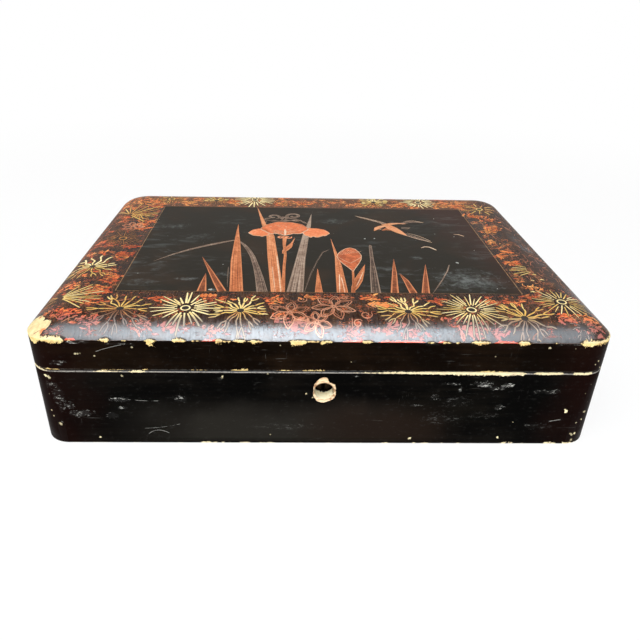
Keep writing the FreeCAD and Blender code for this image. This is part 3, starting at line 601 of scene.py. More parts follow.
def border_lacquer(name):
    """The crowned border: brown lacquer full of gold dust and leaf colour, chipped at the arris."""
    net = Net(name)
    deep, ragged, _, front = wear_of(net, True)
    inset = inset_of(net)
    brown = net.noise(7, 4, 0.65, 0.5)
    back = net.step(net.y, 60, 76)
    leaf, tint = border_leaves(net, inset, back)
    far_edge = back * net.step(net.y + (brown - 0.5) * 10, 88, 98)
    specks, _ = net.cells(0.8)
    dust = net.step(specks, 0.26, 0.18) * net.patches(0.46, 0.64, 7, 2, shift=(2, 2, 2))
    dull_right = net.step(net.x + (brown - 0.5) * 12, 126, 134) * net.step(net.y, -62, -50)
    streak = net.patches(0.56, 0.66, (7, 2.5, 3), 4, 0.7, 1, shift=(4, 4, 4))
    hollow = net.patches(0.52, 0.62, (2.6, 9, 4), 4, 0.7, 0.8, shift=(2, 1, 6))
    scuffs = scuff_patches(net, BORDER_SCUFFS, net.y)
    scuffs = scuffs * net.patches(0.44, 0.62, (2.6, 4.5, 3), 4, 0.7, 1, shift=(6, 3, 1))
    # painted light: where the front highlight falls on the crown's roll, the ground is darkened and the leaf
    # colour muted to grey pink, as that highlight shows them
    shade = net.step(net.y, -98, -103) * 0.75
    red = net.curve(net.x, red_curve()) * ragged * 0.95 - net.hypot(inset, net.z - ARRIS_Z)
    worn = net.step(deep, -0.05, 0.05)
    ground = net.mix(0.2, ground_colour(net, deep), (0.72, 0.68, 0.50))
    ground = net.mix(net.near((-138.9, -103.6, 68.7), 1.7, 0.5), ground, (0.78, 0.22, 0.06))
    lighter = net.high(net.step(brown, 0.42, 0.66), back * 0.8)
    colour = net.coats(
        net.mix(lighter, (0.0165, 0.0050, 0.0010), (0.0560, 0.0205, 0.0045)),
        (back * 0.4, (0.150, 0.060, 0.026)),
        (far_edge * 0.8, (0.190, 0.110, 0.068)),
        (dust * 0.45, (0.34, 0.17, 0.05)),
        (leaf * (1 - dull_right * 0.93) * 0.92, tint),
        (dull_right * 0.8, (0.0150, 0.0058, 0.0022)),
        (dull_right * streak * 0.24, (0.30, 0.17, 0.075)),
        (dull_right * hollow * 0.7, (0.006, 0.003, 0.002)),
        (scuffs * 0.42, (0.34, 0.37, 0.38)),
        # the painted colours under the front highlight
        (shade * (1 - leaf), (0.010, 0.008, 0.007)),
        (shade * leaf, (0.27, 0.085, 0.078)),
        (net.step(red, -0.05, 0.10) * front, (0.62, 0.075, 0.030)),
        (worn, ground))
    brushed = net.noise((0.9, 6, 4), 4, 0.72, 0.4, shift=(3, 5, 2))
    left_corner = net.step(0 - net.x, 128, 140) * net.step(net.y, -92, -78)
    matt = net.high(dull_right, net.high(left_corner, back * 0.6))
    rough = net.noise((3, 1.2, 2), 4, 0.65) * 0.12 + net.step(brushed, 0.38, 0.66) * 0.20 + matt * 0.32 + 0.15
    height = net.noise(1.3, 3, 0.6) * 0.45 + net.noise((2, 9, 3), 3, 0.6) * 0.8 + brushed * 1.1
    height = height + leaf * 0.6 - worn * 3
    return net.finish(colour, net.blend(worn, rough, 0.62), height, 0.06, 0.063)


def flat_lacquer(name):
    """The flat inside the gold line: dull black with dusty smudges, redder towards the right."""
    net = Net(name)
    cloud = net.noise(46, 3, 0.55, 0.5, shift=(4, 8, 2))
    ruddy = net.step(net.x + (cloud - 0.5) * 60 + net.y * 0.25, 78, 116)
    hairs = net.high(hair_scratches(net, (9, 0.5, 5), 0.6), hair_scratches(net, (0.6, 7, 5), 0.4))
    where = net.noise(42, 2, 0.5, shift=(6, 2, 2))
    haze = net.patches(0.50, 0.70, (15, 5, 9), 5, 0.68, 0.8, shift=(3, 9, 2)) * net.step(where, 0.42, 0.58)
    smudge = scuff_patches(net, SMUDGES, net.y)
    wisps = net.patches(0.36, 0.74, (5, 4.5, 3), 4, 0.66, 0.5, shift=(2, 6, 0))
    specks, _ = net.cells(9, shift=(0.1, 0.5, 0.7))
    dots = net.high(net.step(specks, 0.050, 0.035) * net.step(where, 0.46, 0.52), chips_at(net, FLECKS))
    colour = net.coats(
        net.mix(net.step(cloud, 0.45, 0.68), (0.0145, 0.0112, 0.0066), (0.0235, 0.0142, 0.0075)),
        (ruddy * 0.8, (0.0330, 0.0135, 0.0085)),
        (haze * 0.09 + smudge * (wisps * 0.26 + 0.03) + hairs * 0.26, (0.42, 0.45, 0.43)),
        (dots * 0.6, (0.75, 0.76, 0.70)))
    roughness = haze * 0.14 + cloud * 0.16 + smudge * 0.10 + 0.34
    height = net.noise(1.3, 3, 0.6) * 0.35 + net.noise(7, 2, 0.5) * 0.9 - hairs * 0.6
    return net.finish(colour, roughness, height, 0.05, 0.027)


# ---- Paints, and the finishes of the inner parts --------------------------------------------
def streaks_along(net, across, along, tint):
    """Fine lines that run the length of a stroke, different on each stroke."""
    comb = net.node("CombineXYZ", X=across * 13, Y=along * 1.6 + tint * 31)
    lines = net.node("TexNoise", Vector=comb.outputs[0], Scale=1, Detail=2)
    return Value(net, lines.outputs["Fac"])


def paint(name, stops, rubbed, streaky=0, edge=None, highlight_muted_colour=None, specular=0.063):
    """Sprinkled metal or coloured lacquer, rubbed through in places. A stroke's own attribute gives
    its way across, its way along and a tint of its own. The colour given after edge is the paint's
    colour where the crown turns down at the front: painted light, muted as the front highlight shows
    the paint there."""
    net = Net(name)
    across, along, tint = net.attribute("stroke")
    grain = net.noise(0.45, 3, 0.7)
    brush = net.noise((1.6, 0.9, 1.2), 3, 0.6, 0.4, shift=(3, 3, 3))
    cloud = net.noise(6.5, 3, 0.6, 0.5, shift=(5, 1, 9))
    tone = tint * 0.55 + grain * 0.20 + brush * 0.62 + cloud * 0.50 - 0.44
    if streaky:
        lines = streaks_along(net, across, along, tint)
        tone = tone + (lines - 0.5) * streaky + net.step(along, 0, 0.9) * 0.10
    colour = net.ramp(tone, stops)
    if edge:
        limit = net.clamp(tint * 2.4) * 0.11 + 0.29
        colour = net.mix(net.step(abs(across - 0.5), limit, limit + 0.07) * 0.9, colour, edge)
    # painted light: towards the front, the paint's colour is muted as the front highlight shows it
    if highlight_muted_colour:
        colour = net.mix(net.step(net.y, -91.5, -99.5) * 0.85, colour, highlight_muted_colour)
    gaps = net.noise(1, 4, 0.7, 0.5, shift=(7, 5, 1)) + (net.noise(9) - 0.5) * 0.4
    worn = net.step(gaps, rubbed, rubbed - 0.05)
    colour = net.mix(worn * 0.9, colour, (0.018, 0.010, 0.006))
    height = grain * 0.8 + brush * 0.8 - worn
    return net.finish(colour, net.blend(worn, grain * 0.3 + 0.28, 0.36), height, 0.03, specular)


def cloudy_metal(name, stops, size, roughness, specular=0.5, metallic=0.9):
    """Cloudy tarnish with fine scratches."""
    net = Net(name)
    cloud = net.noise(size, 4, 0.6, 0.4)
    marks = hair_scratches(net, (size * 2, size * 0.05, size * 0.05), 0.4)
    colour = net.mix(marks * 0.5, net.ramp(cloud, stops), stops[-1][1])
    height = net.noise(size * 0.12, 3, 0.6) + cloud - marks
    rough = net.blend(cloud, roughness - 0.12, roughness + 0.12)
    return net.finish(colour, rough, height, 0.05, specular, metallic)


def flaked_lacquer(name):
    """Inside: brown-black lacquer with sparse gold flakes under it."""
    net = Net(name)
    cloud = net.noise(30, 3, 0.55, 0.4)
    distance, own = net.cells(1.5)
    chosen = net.step(net.parts("SeparateColor", own)[0] + cloud * 0.5, 0.88, 0.94)
    flake = net.step(distance, 0.24, 0.17) * chosen
    rub = hair_scratches(net, (11, 11, 0.5), 0.4)
    colour = net.coats(
        net.mix(net.step(cloud, 0.35, 0.65), (0.0070, 0.0026, 0.0014), (0.0240, 0.0080, 0.0038)),
        (flake * 0.85, (0.50, 0.30, 0.09)),
        (rub * 0.4, (0.20, 0.15, 0.11)))
    height = net.noise(1.5, 2) * 0.4 + flake * 0.4
    return net.finish(colour, cloud * 0.2 + rub * 0.2 + 0.28, height, 0.05, 0.045)


def stone(name):
    """Honed slate with pale veins, and dried ink in the pool."""
    net = Net(name)
    cloud = net.noise(14, 5, 0.65, 0.3)
    fleck = net.noise(0.6, 2, 0.7)
    ink = net.step(net.z + cloud * 3, 22.5, 20)
    veins = net.step(abs(net.noise((26, 9, 14), 4, 0.6, 1.2, shift=(4, 1, 2)) - 0.5), 0.022, 0.004)
    colour = net.coats(
        net.ramp(cloud * 0.8 + fleck * 0.2, SLATE),
        (ink * 0.9, (0.004, 0.004, 0.005)),
        (veins * (1 - ink) * 0.30, (0.10, 0.096, 0.088)))
    height = fleck + net.noise(4, 4, 0.6) * 2
    return net.finish(colour, net.blend(ink, cloud * 0.2 + 0.55, 0.22), height, 0.05, 0.045)


# ---- The crowned panel ---------------------------------------------------------------------
def corner_radius(inset):
    """Corner radius of the outline at an inset: down to the flat's, then square at the gold line."""
    crown = CORNER_R + (FLAT_CORNER_R - CORNER_R) * np.clip(inset / CROWN_RUN, 0, 1)
    return crown - (FLAT_CORNER_R - 0.4) * np.clip((inset - CROWN_RUN) / (LINE_INSET - CROWN_RUN), 0, 1)


def crown_height(inset):
    """Height of the panel's surface at an inset from the outline."""
    run = np.clip(CROWN_RUN - inset, 0, CROWN_RUN)
    drop = CROWN_R - np.sqrt(CROWN_R ** 2 - run ** 2)
    return ARRIS_Z + (CROWN_RISE - drop) * (CROWN_RISE - PAINT_ROOM) / CROWN_RISE


def insets_at(x, y):
    """Inset of each point, found by halving over the family of rounded outlines."""
    x, y = np.abs(x), np.abs(y)
    low, high = np.full(x.shape, -2.0), np.full(x.shape, HALF_Y - 0.01)
    for _ in range(30):
        middle = (low + high) / 2
        radius = np.minimum(corner_radius(middle), HALF_Y - middle)
        qx, qy = x - (HALF_X - middle - radius), y - (HALF_Y - middle - radius)
        outside = np.hypot(np.maximum(qx, 0), np.maximum(qy, 0)) + np.minimum(np.maximum(qx, qy), 0) - radius
        low, high = np.where(outside < 0, middle, low), np.where(outside < 0, high, middle)
    return (low + high) / 2


def sway(x, y, inset):
    """The hand-made surface's slow waves, never upward, and none at the sharp edge."""
    wave = np.array([noise.noise(Vector((a / 62, b / 48, 0.3))) for a, b in zip(x, y)])
    return (np.clip(wave, -1, 1) * 0.035 - 0.035) * np.clip((inset - 2) / 16, 0, 1)


def chip_depth(x, y, z):
    """How far the front arris is broken back at a point near it."""
    away = np.hypot(np.maximum(insets_at(x, y), 0), z - ARRIS_Z)
    depth = np.zeros(x.shape)
    for centre, half, up, down in ARRIS_CHIPS:
        reach = np.where(z > ARRIS_Z, up, down) * np.sqrt(np.clip(1 - ((x - centre) / half) ** 2, 0, 1))
        reach = np.where(y < -95, reach, 0)
        depth = np.maximum(depth, np.clip(reach - away, 0, 0.45) * 0.6)
    return depth


def outline_points(inset, per_x=300, per_y=210, per_corner=26):
    """Points round the outline at one inset, the same number for each inset."""
    radius = float(min(corner_radius(np.array(inset)), HALF_Y - inset))
    half_x, half_y = HALF_X - inset, HALF_Y - inset
    points = []
    corners = [(-1, -1), (1, -1), (1, 1), (-1, 1)]
    for index, (start, end) in enumerate(zip(corners, corners[1:] + corners[:1])):
        along_x = index % 2 == 0
        count = per_x if along_x else per_y
        half = np.array([half_x - radius * along_x, half_y - radius * (not along_x)])
        a, b = np.array(start) * half, np.array(end) * half
        points += [a + (b - a) * i / count for i in range(count)]
        centre = np.array([end[0] * (half_x - radius), end[1] * (half_y - radius)])
        for i in range(per_corner):
            turn = math.pi / 2 * (index - 1 + i / per_corner)
            points.append(centre + radius * np.array([math.cos(turn), math.sin(turn)]))
    return np.array(points)


def mesh_object(name, vertices, faces, materials, smooth=True):
    """An object in the scene, from vertices in millimetres."""
    mesh = bpy.data.meshes.new(name)
    mesh.from_pydata([tuple(float(c) * MM for c in v) for v in vertices], [], faces)
    for material in materials:
        mesh.materials.append(material)
    for polygon in mesh.polygons:
        polygon.use_smooth = smooth
    thing = bpy.data.objects.new(name, mesh)
    bpy.context.scene.collection.objects.link(thing)
    return thing


@contextlib.contextmanager
def edited(mesh):
    """The mesh as a bmesh, which is written back at the end of the with block."""
    bm = bmesh.new()
    bm.from_mesh(mesh)
    yield bm
    bm.to_mesh(mesh)
    bm.free()


def ring_faces(first, second, count):
    """Faces between two rings of count vertices."""
    return [(first + i, first + (i + 1) % count, second + (i + 1) % count, second + i) for i in range(count)]


SHARP = math.radians(34)                   # an edge that is bent more than this is drawn sharp
BORDER, FLAT, SIDE, INSIDE = range(4)      # the panel's material slots
RINGS = [(9, PANEL_LOW, INSIDE), (0, PANEL_LOW, SIDE)]       # inset, height or None on the crown, slot
RINGS += [(0, z, SIDE) for z in (64.4, 64.8, 65.1, 65.4, 65.6, 65.8)] + [(0, 65.92, BORDER)]
RINGS += [(inset, None, BORDER) for inset in (0, 0.12, 0.3, 0.55, 0.85, 1.2, 1.6, 2.1, 2.7)]
RINGS += [(3.4 + 0.8 * i, None, BORDER) for i in range(20)]
RINGS += [(inset, None, BORDER) for inset in (20, 23, 28, 34)]
RINGS += [(inset, None, FLAT) for inset in (LINE_INSET, 42, 52, 64, 78, 92, 104, 107.4)]


def crowned_panel(materials):
    """The lid's top: rings of the outline from under the edge to the middle, and the inner step."""
    vertices, faces, slots = [], [], []
    for index, (inset, z, _) in enumerate(RINGS):
        points = outline_points(inset)
        count = len(points)
        x, y = points[:, 0], points[:, 1]
        height = crown_height(np.full(count, inset)) if z is None else np.full(count, z)
        if z != PANEL_LOW:
            depth = chip_depth(x, y, height)
            y = y + depth
            height = height - depth * 0.5 * (height > ARRIS_Z - 0.01)
        if z is None:
            height = height + sway(x, y, inset)
        vertices += list(zip(x, y, height))
        if index:
            faces += ring_faces((index - 1) * count, index * count, count)
            slots += [RINGS[index - 1][2]] * count
    faces.append(tuple(range((len(RINGS) - 1) * count, len(RINGS) * count)))
    thing = mesh_object("crowned_top_panel", vertices, faces, materials)
    thing.data.polygons.foreach_set("material_index", slots + [FLAT])
    with edited(thing.data) as bm:
        add_step(bm)
        bm.normal_update()
        for edge in bm.edges:
            if len(edge.link_faces) == 2 and edge.calc_face_angle(0) > SHARP:
                edge.smooth = False
    return thing


def add_step(bm):
    """The panel's step down inside the lid's boards, its lower edge slightly eased."""
    made = bmesh.ops.create_cube(bm, size=1)["verts"]
    for face in {face for vertex in made for face in vertex.link_faces}:
        face.material_index = INSIDE
    size = Vector((2 * IN_X - 0.02, 2 * IN_Y - 0.02, PANEL_LOW - CEILING_Z + 0.01))
    middle = Vector((0, 0, (PANEL_LOW + CEILING_Z) / 2))
    bmesh.ops.scale(bm, vec=size * MM, verts=made)
    bmesh.ops.translate(bm, vec=middle * MM, verts=made)
    edges = {edge for vertex in made for edge in vertex.link_edges}
    lower = [edge for edge in edges if all(vertex.co.z < middle.z * MM for vertex in edge.verts)]
    bmesh.ops.bevel(bm, geom=lower, offset=0.4 * MM, segments=3, affect="EDGES", profile=0.5)


# ---- Painted strokes: thin strips that lie on the panel -------------------------------------
class Strokes:
    """Strips and filled shapes of one paint, gathered into one mesh a little above the lacquer."""

    def __init__(self, name, material, lift):
        self.name, self.material, self.lift = name, material, lift
        self.vertices, self.faces, self.marks = [], [], []

    def line(self, points, width, tint=0.5, spacing=1.1, lanes=None):
        """A strip along points; width is a number or a function of the way along, 0 to 1."""
        points = np.array(points, float)
        lengths = np.hypot(*np.diff(points, axis=0).T)
        total = lengths.sum()
        if total < 0.2:
            return
        at = np.concatenate([[0], np.cumsum(lengths)]) / total
        count = max(3, int(math.ceil(total / spacing)) + 1)
        t = np.linspace(0, 1, count)
        path = np.stack([np.interp(t, at, points[:, 0]), np.interp(t, at, points[:, 1])], 1)
        tangent = np.gradient(path, axis=0)
        tangent /= np.maximum(np.hypot(tangent[:, 0], tangent[:, 1])[:, None], 1e-9)
        normal = np.stack([-tangent[:, 1], tangent[:, 0]], 1)
        wide = np.array([width(s) if callable(width) else width for s in t])
        lanes = lanes or max(1, int(math.ceil(wide.max() / 1.6)))
        first = len(self.vertices)
        for i in range(count):
            for lane in range(lanes + 1):
                share = lane / lanes
                self.vertices.append(path[i] + normal[i] * wide[i] * (share - 0.5))
                self.marks.append((share, t[i], tint))
        for i in range(count - 1):
            for lane in range(lanes):
                a = first + i * (lanes + 1) + lane
                self.faces.append((a, a + lanes + 1, a + lanes + 2, a + 1))

    def shape(self, points, tint, rings):
        """A filled shape round its middle, in rings so that it follows the panel."""
        points = np.array(points, float)
        centre = points.mean(0)
        first, count = len(self.vertices), len(points)
        for ring in range(rings + 1):
            share = ring / rings
            for i, point in enumerate(points):
                self.vertices.append(centre + (point - centre) * max(share, 0.001))
                self.marks.append((0.5 + 0.5 * share, i / count, tint))
        for ring in range(rings):
            a = first + ring * count
            self.faces += [(a + i, a + count + i, a + count + (i + 1) % count, a + (i + 1) % count)
                           for i in range(count)]

    def make(self):
        """Lays the strips on the panel and puts them on the lid."""
        x, y = np.array(self.vertices).T
        inset = insets_at(x, y)
        shown = inset > PAINT_EDGE
        z = crown_height(inset) + sway(x, y, inset) + self.lift
        faces = [face for face in self.faces if all(shown[i] for i in face)]
        thing = mesh_object(self.name, np.stack([x, y, z], 1), faces, [self.material])
        layer = thing.data.color_attributes.new("stroke", "FLOAT_COLOR", "POINT")
        values = np.concatenate([np.array(self.marks), np.ones((len(x), 1))], 1)
        layer.data.foreach_set("color", values.ravel().astype(np.float32))
        with edited(thing.data) as bm:
            unused = [vertex for vertex in bm.verts if not vertex.link_faces]
            bmesh.ops.delete(bm, geom=unused, context="VERTS")
            for face in bm.faces:
                if face.normal.z < 0:
                    face.normal_flip()
        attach(thing, "lid")


def tapered(width, start=0.45, tip=0.12, end=1):
    """Width that swells from the root, changes to end's share and rounds off at the tip."""
    def at(t):
        grown = (start + (1 - start) * min(t / 0.3, 1)) * (1 + (end - 1) * t)
        left = (1 - t) / tip
        return width * grown * (1 if left >= 1 else math.sqrt(max(1 - (1 - left) ** 2, 0)) + 0.02)
    return at


def measured(*pairs):
    """Width by linear steps: pairs of (share along, width)."""
    shares, widths = zip(*pairs)
    return lambda t: float(np.interp(t, shares, widths))


def dry_brush(width, rng):
    """The uneven width of a dry brush mark."""
    phase, beat, bite = rng.uniform(0, 6), rng.uniform(2.2, 4.5), rng.uniform(0.25, 0.6)

    def at(t):
        body = math.sin(math.pi * min(max(t, 0.02), 0.98)) ** 0.55
        return width * body * (1 + bite * math.sin(phase + beat * TURN * t))
    return at


def polar(centre, radius, angle):
    """The point at a radius and an angle from a centre."""
    return (centre[0] + radius * math.cos(angle), centre[1] + radius * math.sin(angle))


class Rays:
    """Rays of one colour, each with a dark border that parts it from what lies behind."""

    def __init__(self, colour, border, wider=0.75):
        self.colour, self.border, self.wider = colour, border, wider

    def line(self, points, width, tint, spacing=1.1):
        wide = width if callable(width) else lambda t: width
        self.border.line(points, lambda t: wide(t) + self.wider, tint, spacing)
        self.colour.line(points, width, tint, spacing)


def fine_burst(rays, rng, centre, reach, count, width, tints):
    """A flower of straight rays round a small oval ring."""
    ring = [(centre[0] + 2.3 * math.cos(a), centre[1] + 2.4 * math.sin(a)) for a in np.linspace(0, TURN, 25)]
    rays.border.shape(ring[1:], 0.1, 3)
    rays.line(ring, 0.8, tints[1], 0.8)
    for i in range(count):
        angle = TURN * (i + rng.uniform(-0.22, 0.22)) / count
        start = 3.6 + rng.uniform(0, 1.4) + (i % 2) * 1.6
        length = reach * rng.uniform(0.72, 1.12)
        bend = rng.uniform(-0.05, 0.05)
        points = [polar(centre, start + (length - start) * t, angle + bend * t) for t in (0, 0.35, 0.7, 1)]
        rays.line(points, tapered(width * rng.uniform(0.8, 1.15), 0.8, 0.10, 0.55), rng.uniform(*tints))


def fan(rays, rng, centre, reach, count, width, tints, heading, opening, foot, behind):
    """A flower seen from the side: rays that open from its foot to one side, and short ones behind."""
    for i in range(count):
        share = (i + rng.uniform(-0.25, 0.25)) / (count - 1) - 0.5
        angle = heading + opening * share
        length = reach * (1 - 0.5 * abs(share)) * rng.uniform(0.85, 1.1)
        points = [polar(centre, r, angle + r * 0.004 * share) for r in np.linspace(foot, length, 4)]
        rays.line(points, tapered(width * rng.uniform(0.8, 1.2), 0.6, 0.10, 0.9), rng.uniform(*tints))
    for _ in range(behind):
        angle = heading + math.pi + rng.uniform(-1.1, 1.1)
        rays.line([polar(centre, 2.5, angle), polar(centre, reach * rng.uniform(0.3, 0.55), angle + 0.1)],
                  tapered(width * 0.6), tints[0] - 0.2)


def branching_burst(rays, rng, centre, reach, arms, width, tints, fade):
    """A flower of crooked arms round a dark eye, forked like antlers, and fainter on its near side."""
    rays.border.shape([polar(centre, 2.6, a) for a in np.linspace(0, 6, 18)], 0, 2)
    for i in range(arms):
        angle = TURN * (i + rng.uniform(-0.2, 0.2)) / arms
        near = max(-math.sin(angle), 0)
        length = reach * rng.uniform(0.80, 1.10)
        tint = rng.uniform(*tints) - fade * near
        thick = width * (1 - 0.35 * near)
        points = [polar(centre, 1.9, angle)]
        for share in (0.30, 0.46, 0.62):
            turn = angle + rng.uniform(-0.13, 0.13)
            points.append(polar(centre, length * share, turn))
        rays.line(points, tapered(thick * rng.uniform(0.85, 1.1), 0.6, 0.04), tint)
        knee = points[-1]
        for side in (-1, 1):
            if side < 0 and rng.random() < 0.35:
                continue
            heading = turn + side * rng.uniform(0.15, 0.6)
            middle = polar(knee, length * 0.17, heading)
            end = polar(middle, length * rng.uniform(0.12, 0.24), turn + side * rng.uniform(-0.15, 0.25))
            rays.line([knee, middle, end], tapered(thick * 0.95, 0.8, 0.25), tint)


def outlined_flower(copper, rng, centre, reach, petals):
    """A flower of open petals drawn in a double line."""
    spin = rng.uniform(0, 1)
    for i in range(petals):
        angle = spin + TURN * (i + rng.uniform(-0.1, 0.1)) / petals
        dx, dy = math.cos(angle), math.sin(angle)
        for size, width in ((1, 0.62), (0.62, 0.36)):
            left, right = [], []
            for t in np.linspace(0, 1, 12):
                along = 1.4 + (reach * (0.6 + 0.4 * size) - 1.4) * t
                side = reach * 0.25 * size * math.sin(math.pi * t ** 0.8) ** 0.8 * rng.uniform(0.9, 1.1)
                x, y = centre[0] + dx * along, centre[1] + dy * along
                left.append((x - dy * side, y + dx * side))
                right.append((x + dy * side, y - dx * side))
            copper.line(left + right[::-1], width, rng.uniform(0.3, 0.9), 0.8)
    copper.line([polar(centre, 0.9, a) for a in np.linspace(0, TURN, 9)], 0.9, 0.8, 0.5)


def curl(strokes, centre, size, start, turns, width, tint, hand=1):
    """A spiral scroll; hand is -1 for one that turns clockwise."""
    points = [polar(centre, size * (1 - 0.75 * t), start + hand * turns * TURN * t)
              for t in np.linspace(0, 1, 26)]
    strokes.line(points, tapered(width, 0.5, 0.1), tint, 0.7)


def foliage(warm, dark, rng, centre, size, marks, lean=0, glow=0):
    """A ragged cluster of small leaf marks, mostly along one direction, with dark veins between."""
    hue = rng.uniform(-0.2, 0.2) + glow
    for _ in range(marks):
        x = centre[0] + rng.gauss(0, size[0] * 0.5)
        y = centre[1] + rng.gauss(0, size[1] * 0.5)
        length = rng.uniform(1.4, 5)
        angle = lean + rng.gauss(0, 0.6)
        bow = rng.uniform(-0.9, 0.9)
        middle = polar(polar((x, y), length * 0.5, angle), bow, angle + math.pi / 2)
        points = [(x, y), middle, polar((x, y), length, angle)]
        if all(abs(a) < LINE_X + 0.4 and abs(b) < LINE_Y + 0.4 for a, b in points):
            continue
        if rng.random() < 0.25:
            dark.line(points, tapered(rng.uniform(0.30, 0.50)), rng.uniform(0, 0.6), 0.8)
            continue
        width = dry_brush(rng.uniform(0.5, 1.6), rng)
        warm.line(points, width, min(max(rng.gauss(0.5 + hue, 0.2), 0), 1), 0.6, lanes=2)


def leaf_spray(warm, rng, centre, heading, size):
    """One toothed leaf."""
    tip = polar(centre, size, heading)
    warm.line([centre, tip], dry_brush(size * 0.34, rng), rng.uniform(0.6, 0.9), 0.6, lanes=4)
    for i in range(6):
        share = 0.08 + 0.15 * i
        root = (centre[0] + (tip[0] - centre[0]) * share, centre[1] + (tip[1] - centre[1]) * share)
        for side in (-1, 1):
            warm.line([root, polar(root, size * 0.28 * (1.1 - share), heading + side * 0.9)],
                      tapered(1, 1, 0.6), rng.uniform(0.5, 0.9), 0.6)


# ---- The ornament, laid out ------------------------------------------------------------------
GOLD = [(0.15, (0.20, 0.072, 0.020)), (0.35, (0.55, 0.23, 0.050)), (0.58, (0.80, 0.54, 0.125)),
        (0.82, (0.97, 0.81, 0.42))]
COPPER = [(0.20, (0.14, 0.045, 0.020)), (0.45, (0.40, 0.14, 0.065)), (0.65, (0.55, 0.24, 0.13)),
          (0.90, (0.72, 0.45, 0.30))]
WARM = [(0.15, (0.26, 0.030, 0.010)), (0.36, (0.62, 0.085, 0.022)), (0.56, (0.84, 0.20, 0.045)),
        (0.82, (0.92, 0.42, 0.12))]
BLADE = [(0.15, (0.12, 0.032, 0.012)), (0.36, (0.34, 0.095, 0.034)), (0.56, (0.58, 0.18, 0.062)),
         (0.82, (0.78, 0.38, 0.19))]
GREY = [(0.20, (0.030, 0.019, 0.014)), (0.40, (0.10, 0.062, 0.042)), (0.60, (0.24, 0.155, 0.108)),
        (0.90, (0.50, 0.39, 0.30))]
BLOOM = [(0.20, (0.34, 0.075, 0.026)), (0.38, (0.66, 0.165, 0.060)), (0.56, (0.82, 0.24, 0.090)),
         (0.80, (0.90, 0.46, 0.27))]
TAN = [(0.20, (0.10, 0.050, 0.024)), (0.45, (0.30, 0.165, 0.075)), (0.65, (0.48, 0.31, 0.15)),
       (0.90, (0.66, 0.50, 0.28))]
CREAM = [(0.15, (0.34, 0.19, 0.11)), (0.45, (0.66, 0.44, 0.28)), (0.80, (0.90, 0.78, 0.62))]
DARK = [(0.2, (0.010, 0.005, 0.003)), (0.8, (0.030, 0.014, 0.006))]

FINE_BURSTS = (            # x, y, reach, rays, width, how bright from and to
    (-70.8, -88.1, 17, 26, 1.15, 0.9, 1.25), (78.6, -87.6, 18, 32, 0.78, 0.7, 1.2),
    (130.4, -77.9, 15.5, 26, 0.68, 0.5, 1.1), (128.2, 71.5, 13.5, 11, 0.95, 0.35, 0.75),
    (-45.2, 87.1, 16, 24, 1.3, 0.9, 1.3), (83.4, 85.5, 14, 22, 1.3, 0.9, 1.3),
    (-127, 5, 12, 30, 0.5, -0.1, 0.2), (-110.2, 86.9, 12, 20, 0.9, 0.1, 0.5),
)
# The same, then heading, opening, the foot's radius and the rays behind.
FANS = (                   # x, y, reach, rays, width, how bright from and to, ...
    (-139, -77.5, 23, 10, 0.7, 0.5, 1, 0.22, 1.7, 2, 5),
    (-134, 50, 26, 12, 0.85, 0.2, 0.7, 0.75, 2.9, 2, 6),
    (-128, 54, 16, 7, 0.75, 0.1, 0.5, -1.1, 1.4, 2, 3), (134, -37, 22, 5, 0.7, 0.7, 1, 3.2, 0.9, 8, 0),
)
BRANCHING = (              # x, y, reach, arms, width, how bright from and to, how much fainter at its front
    (-104.1, -89.2, 17, 16, 0.85, 0.3, 0.8, 1), (-42.2, -90.2, 17.5, 18, 0.9, 0.55, 1, 0.5),
    (44.8, -89.9, 17, 18, 0.9, 0.5, 0.95, 0.5), (104.2, -95, 17, 16, 0.85, 0.35, 0.8, 0.5),
    (-133.5, -38.7, 16, 14, 1.05, 0.6, 1.1, 0.3), (-75, 84, 10, 14, 0.9, 0.3, 0.8, 0.5),
    (48.1, 85, 12.5, 16, 1.1, 0.6, 1.1, 0.5), (133, -100, 8, 9, 0.4, -0.2, 0.1, 0.5),
)
OUTLINED = ((-16.7, -91.4, 11), (6.3, -85.2, 12), (-3, -98.5, 8), (-126, 27, 8))    # x, y, reach
CURLS = (                  # x, y, size, 1 or -1 for the way it turns
    (-24.5, -86.5, 3.4, 1), (22.5, -93, 3.4, -1), (-10.5, -78, 3, -1), (18, -99, 2.6, 1),
    (13, -75.5, 2.2, 1), (28, -84, 2.4, 1),
)
TWIGS = ((119, -66.5, 1.5), (130, -51, 1.3), (124, -52, 1), (128, -44, 1))    # x, y, half length
SPRAYS = ((24.5, -82, -0.1, 16), (-66, -74.5, 0.1, 10), (118.5, -9, -0.35, 9))    # x, y, heading, size
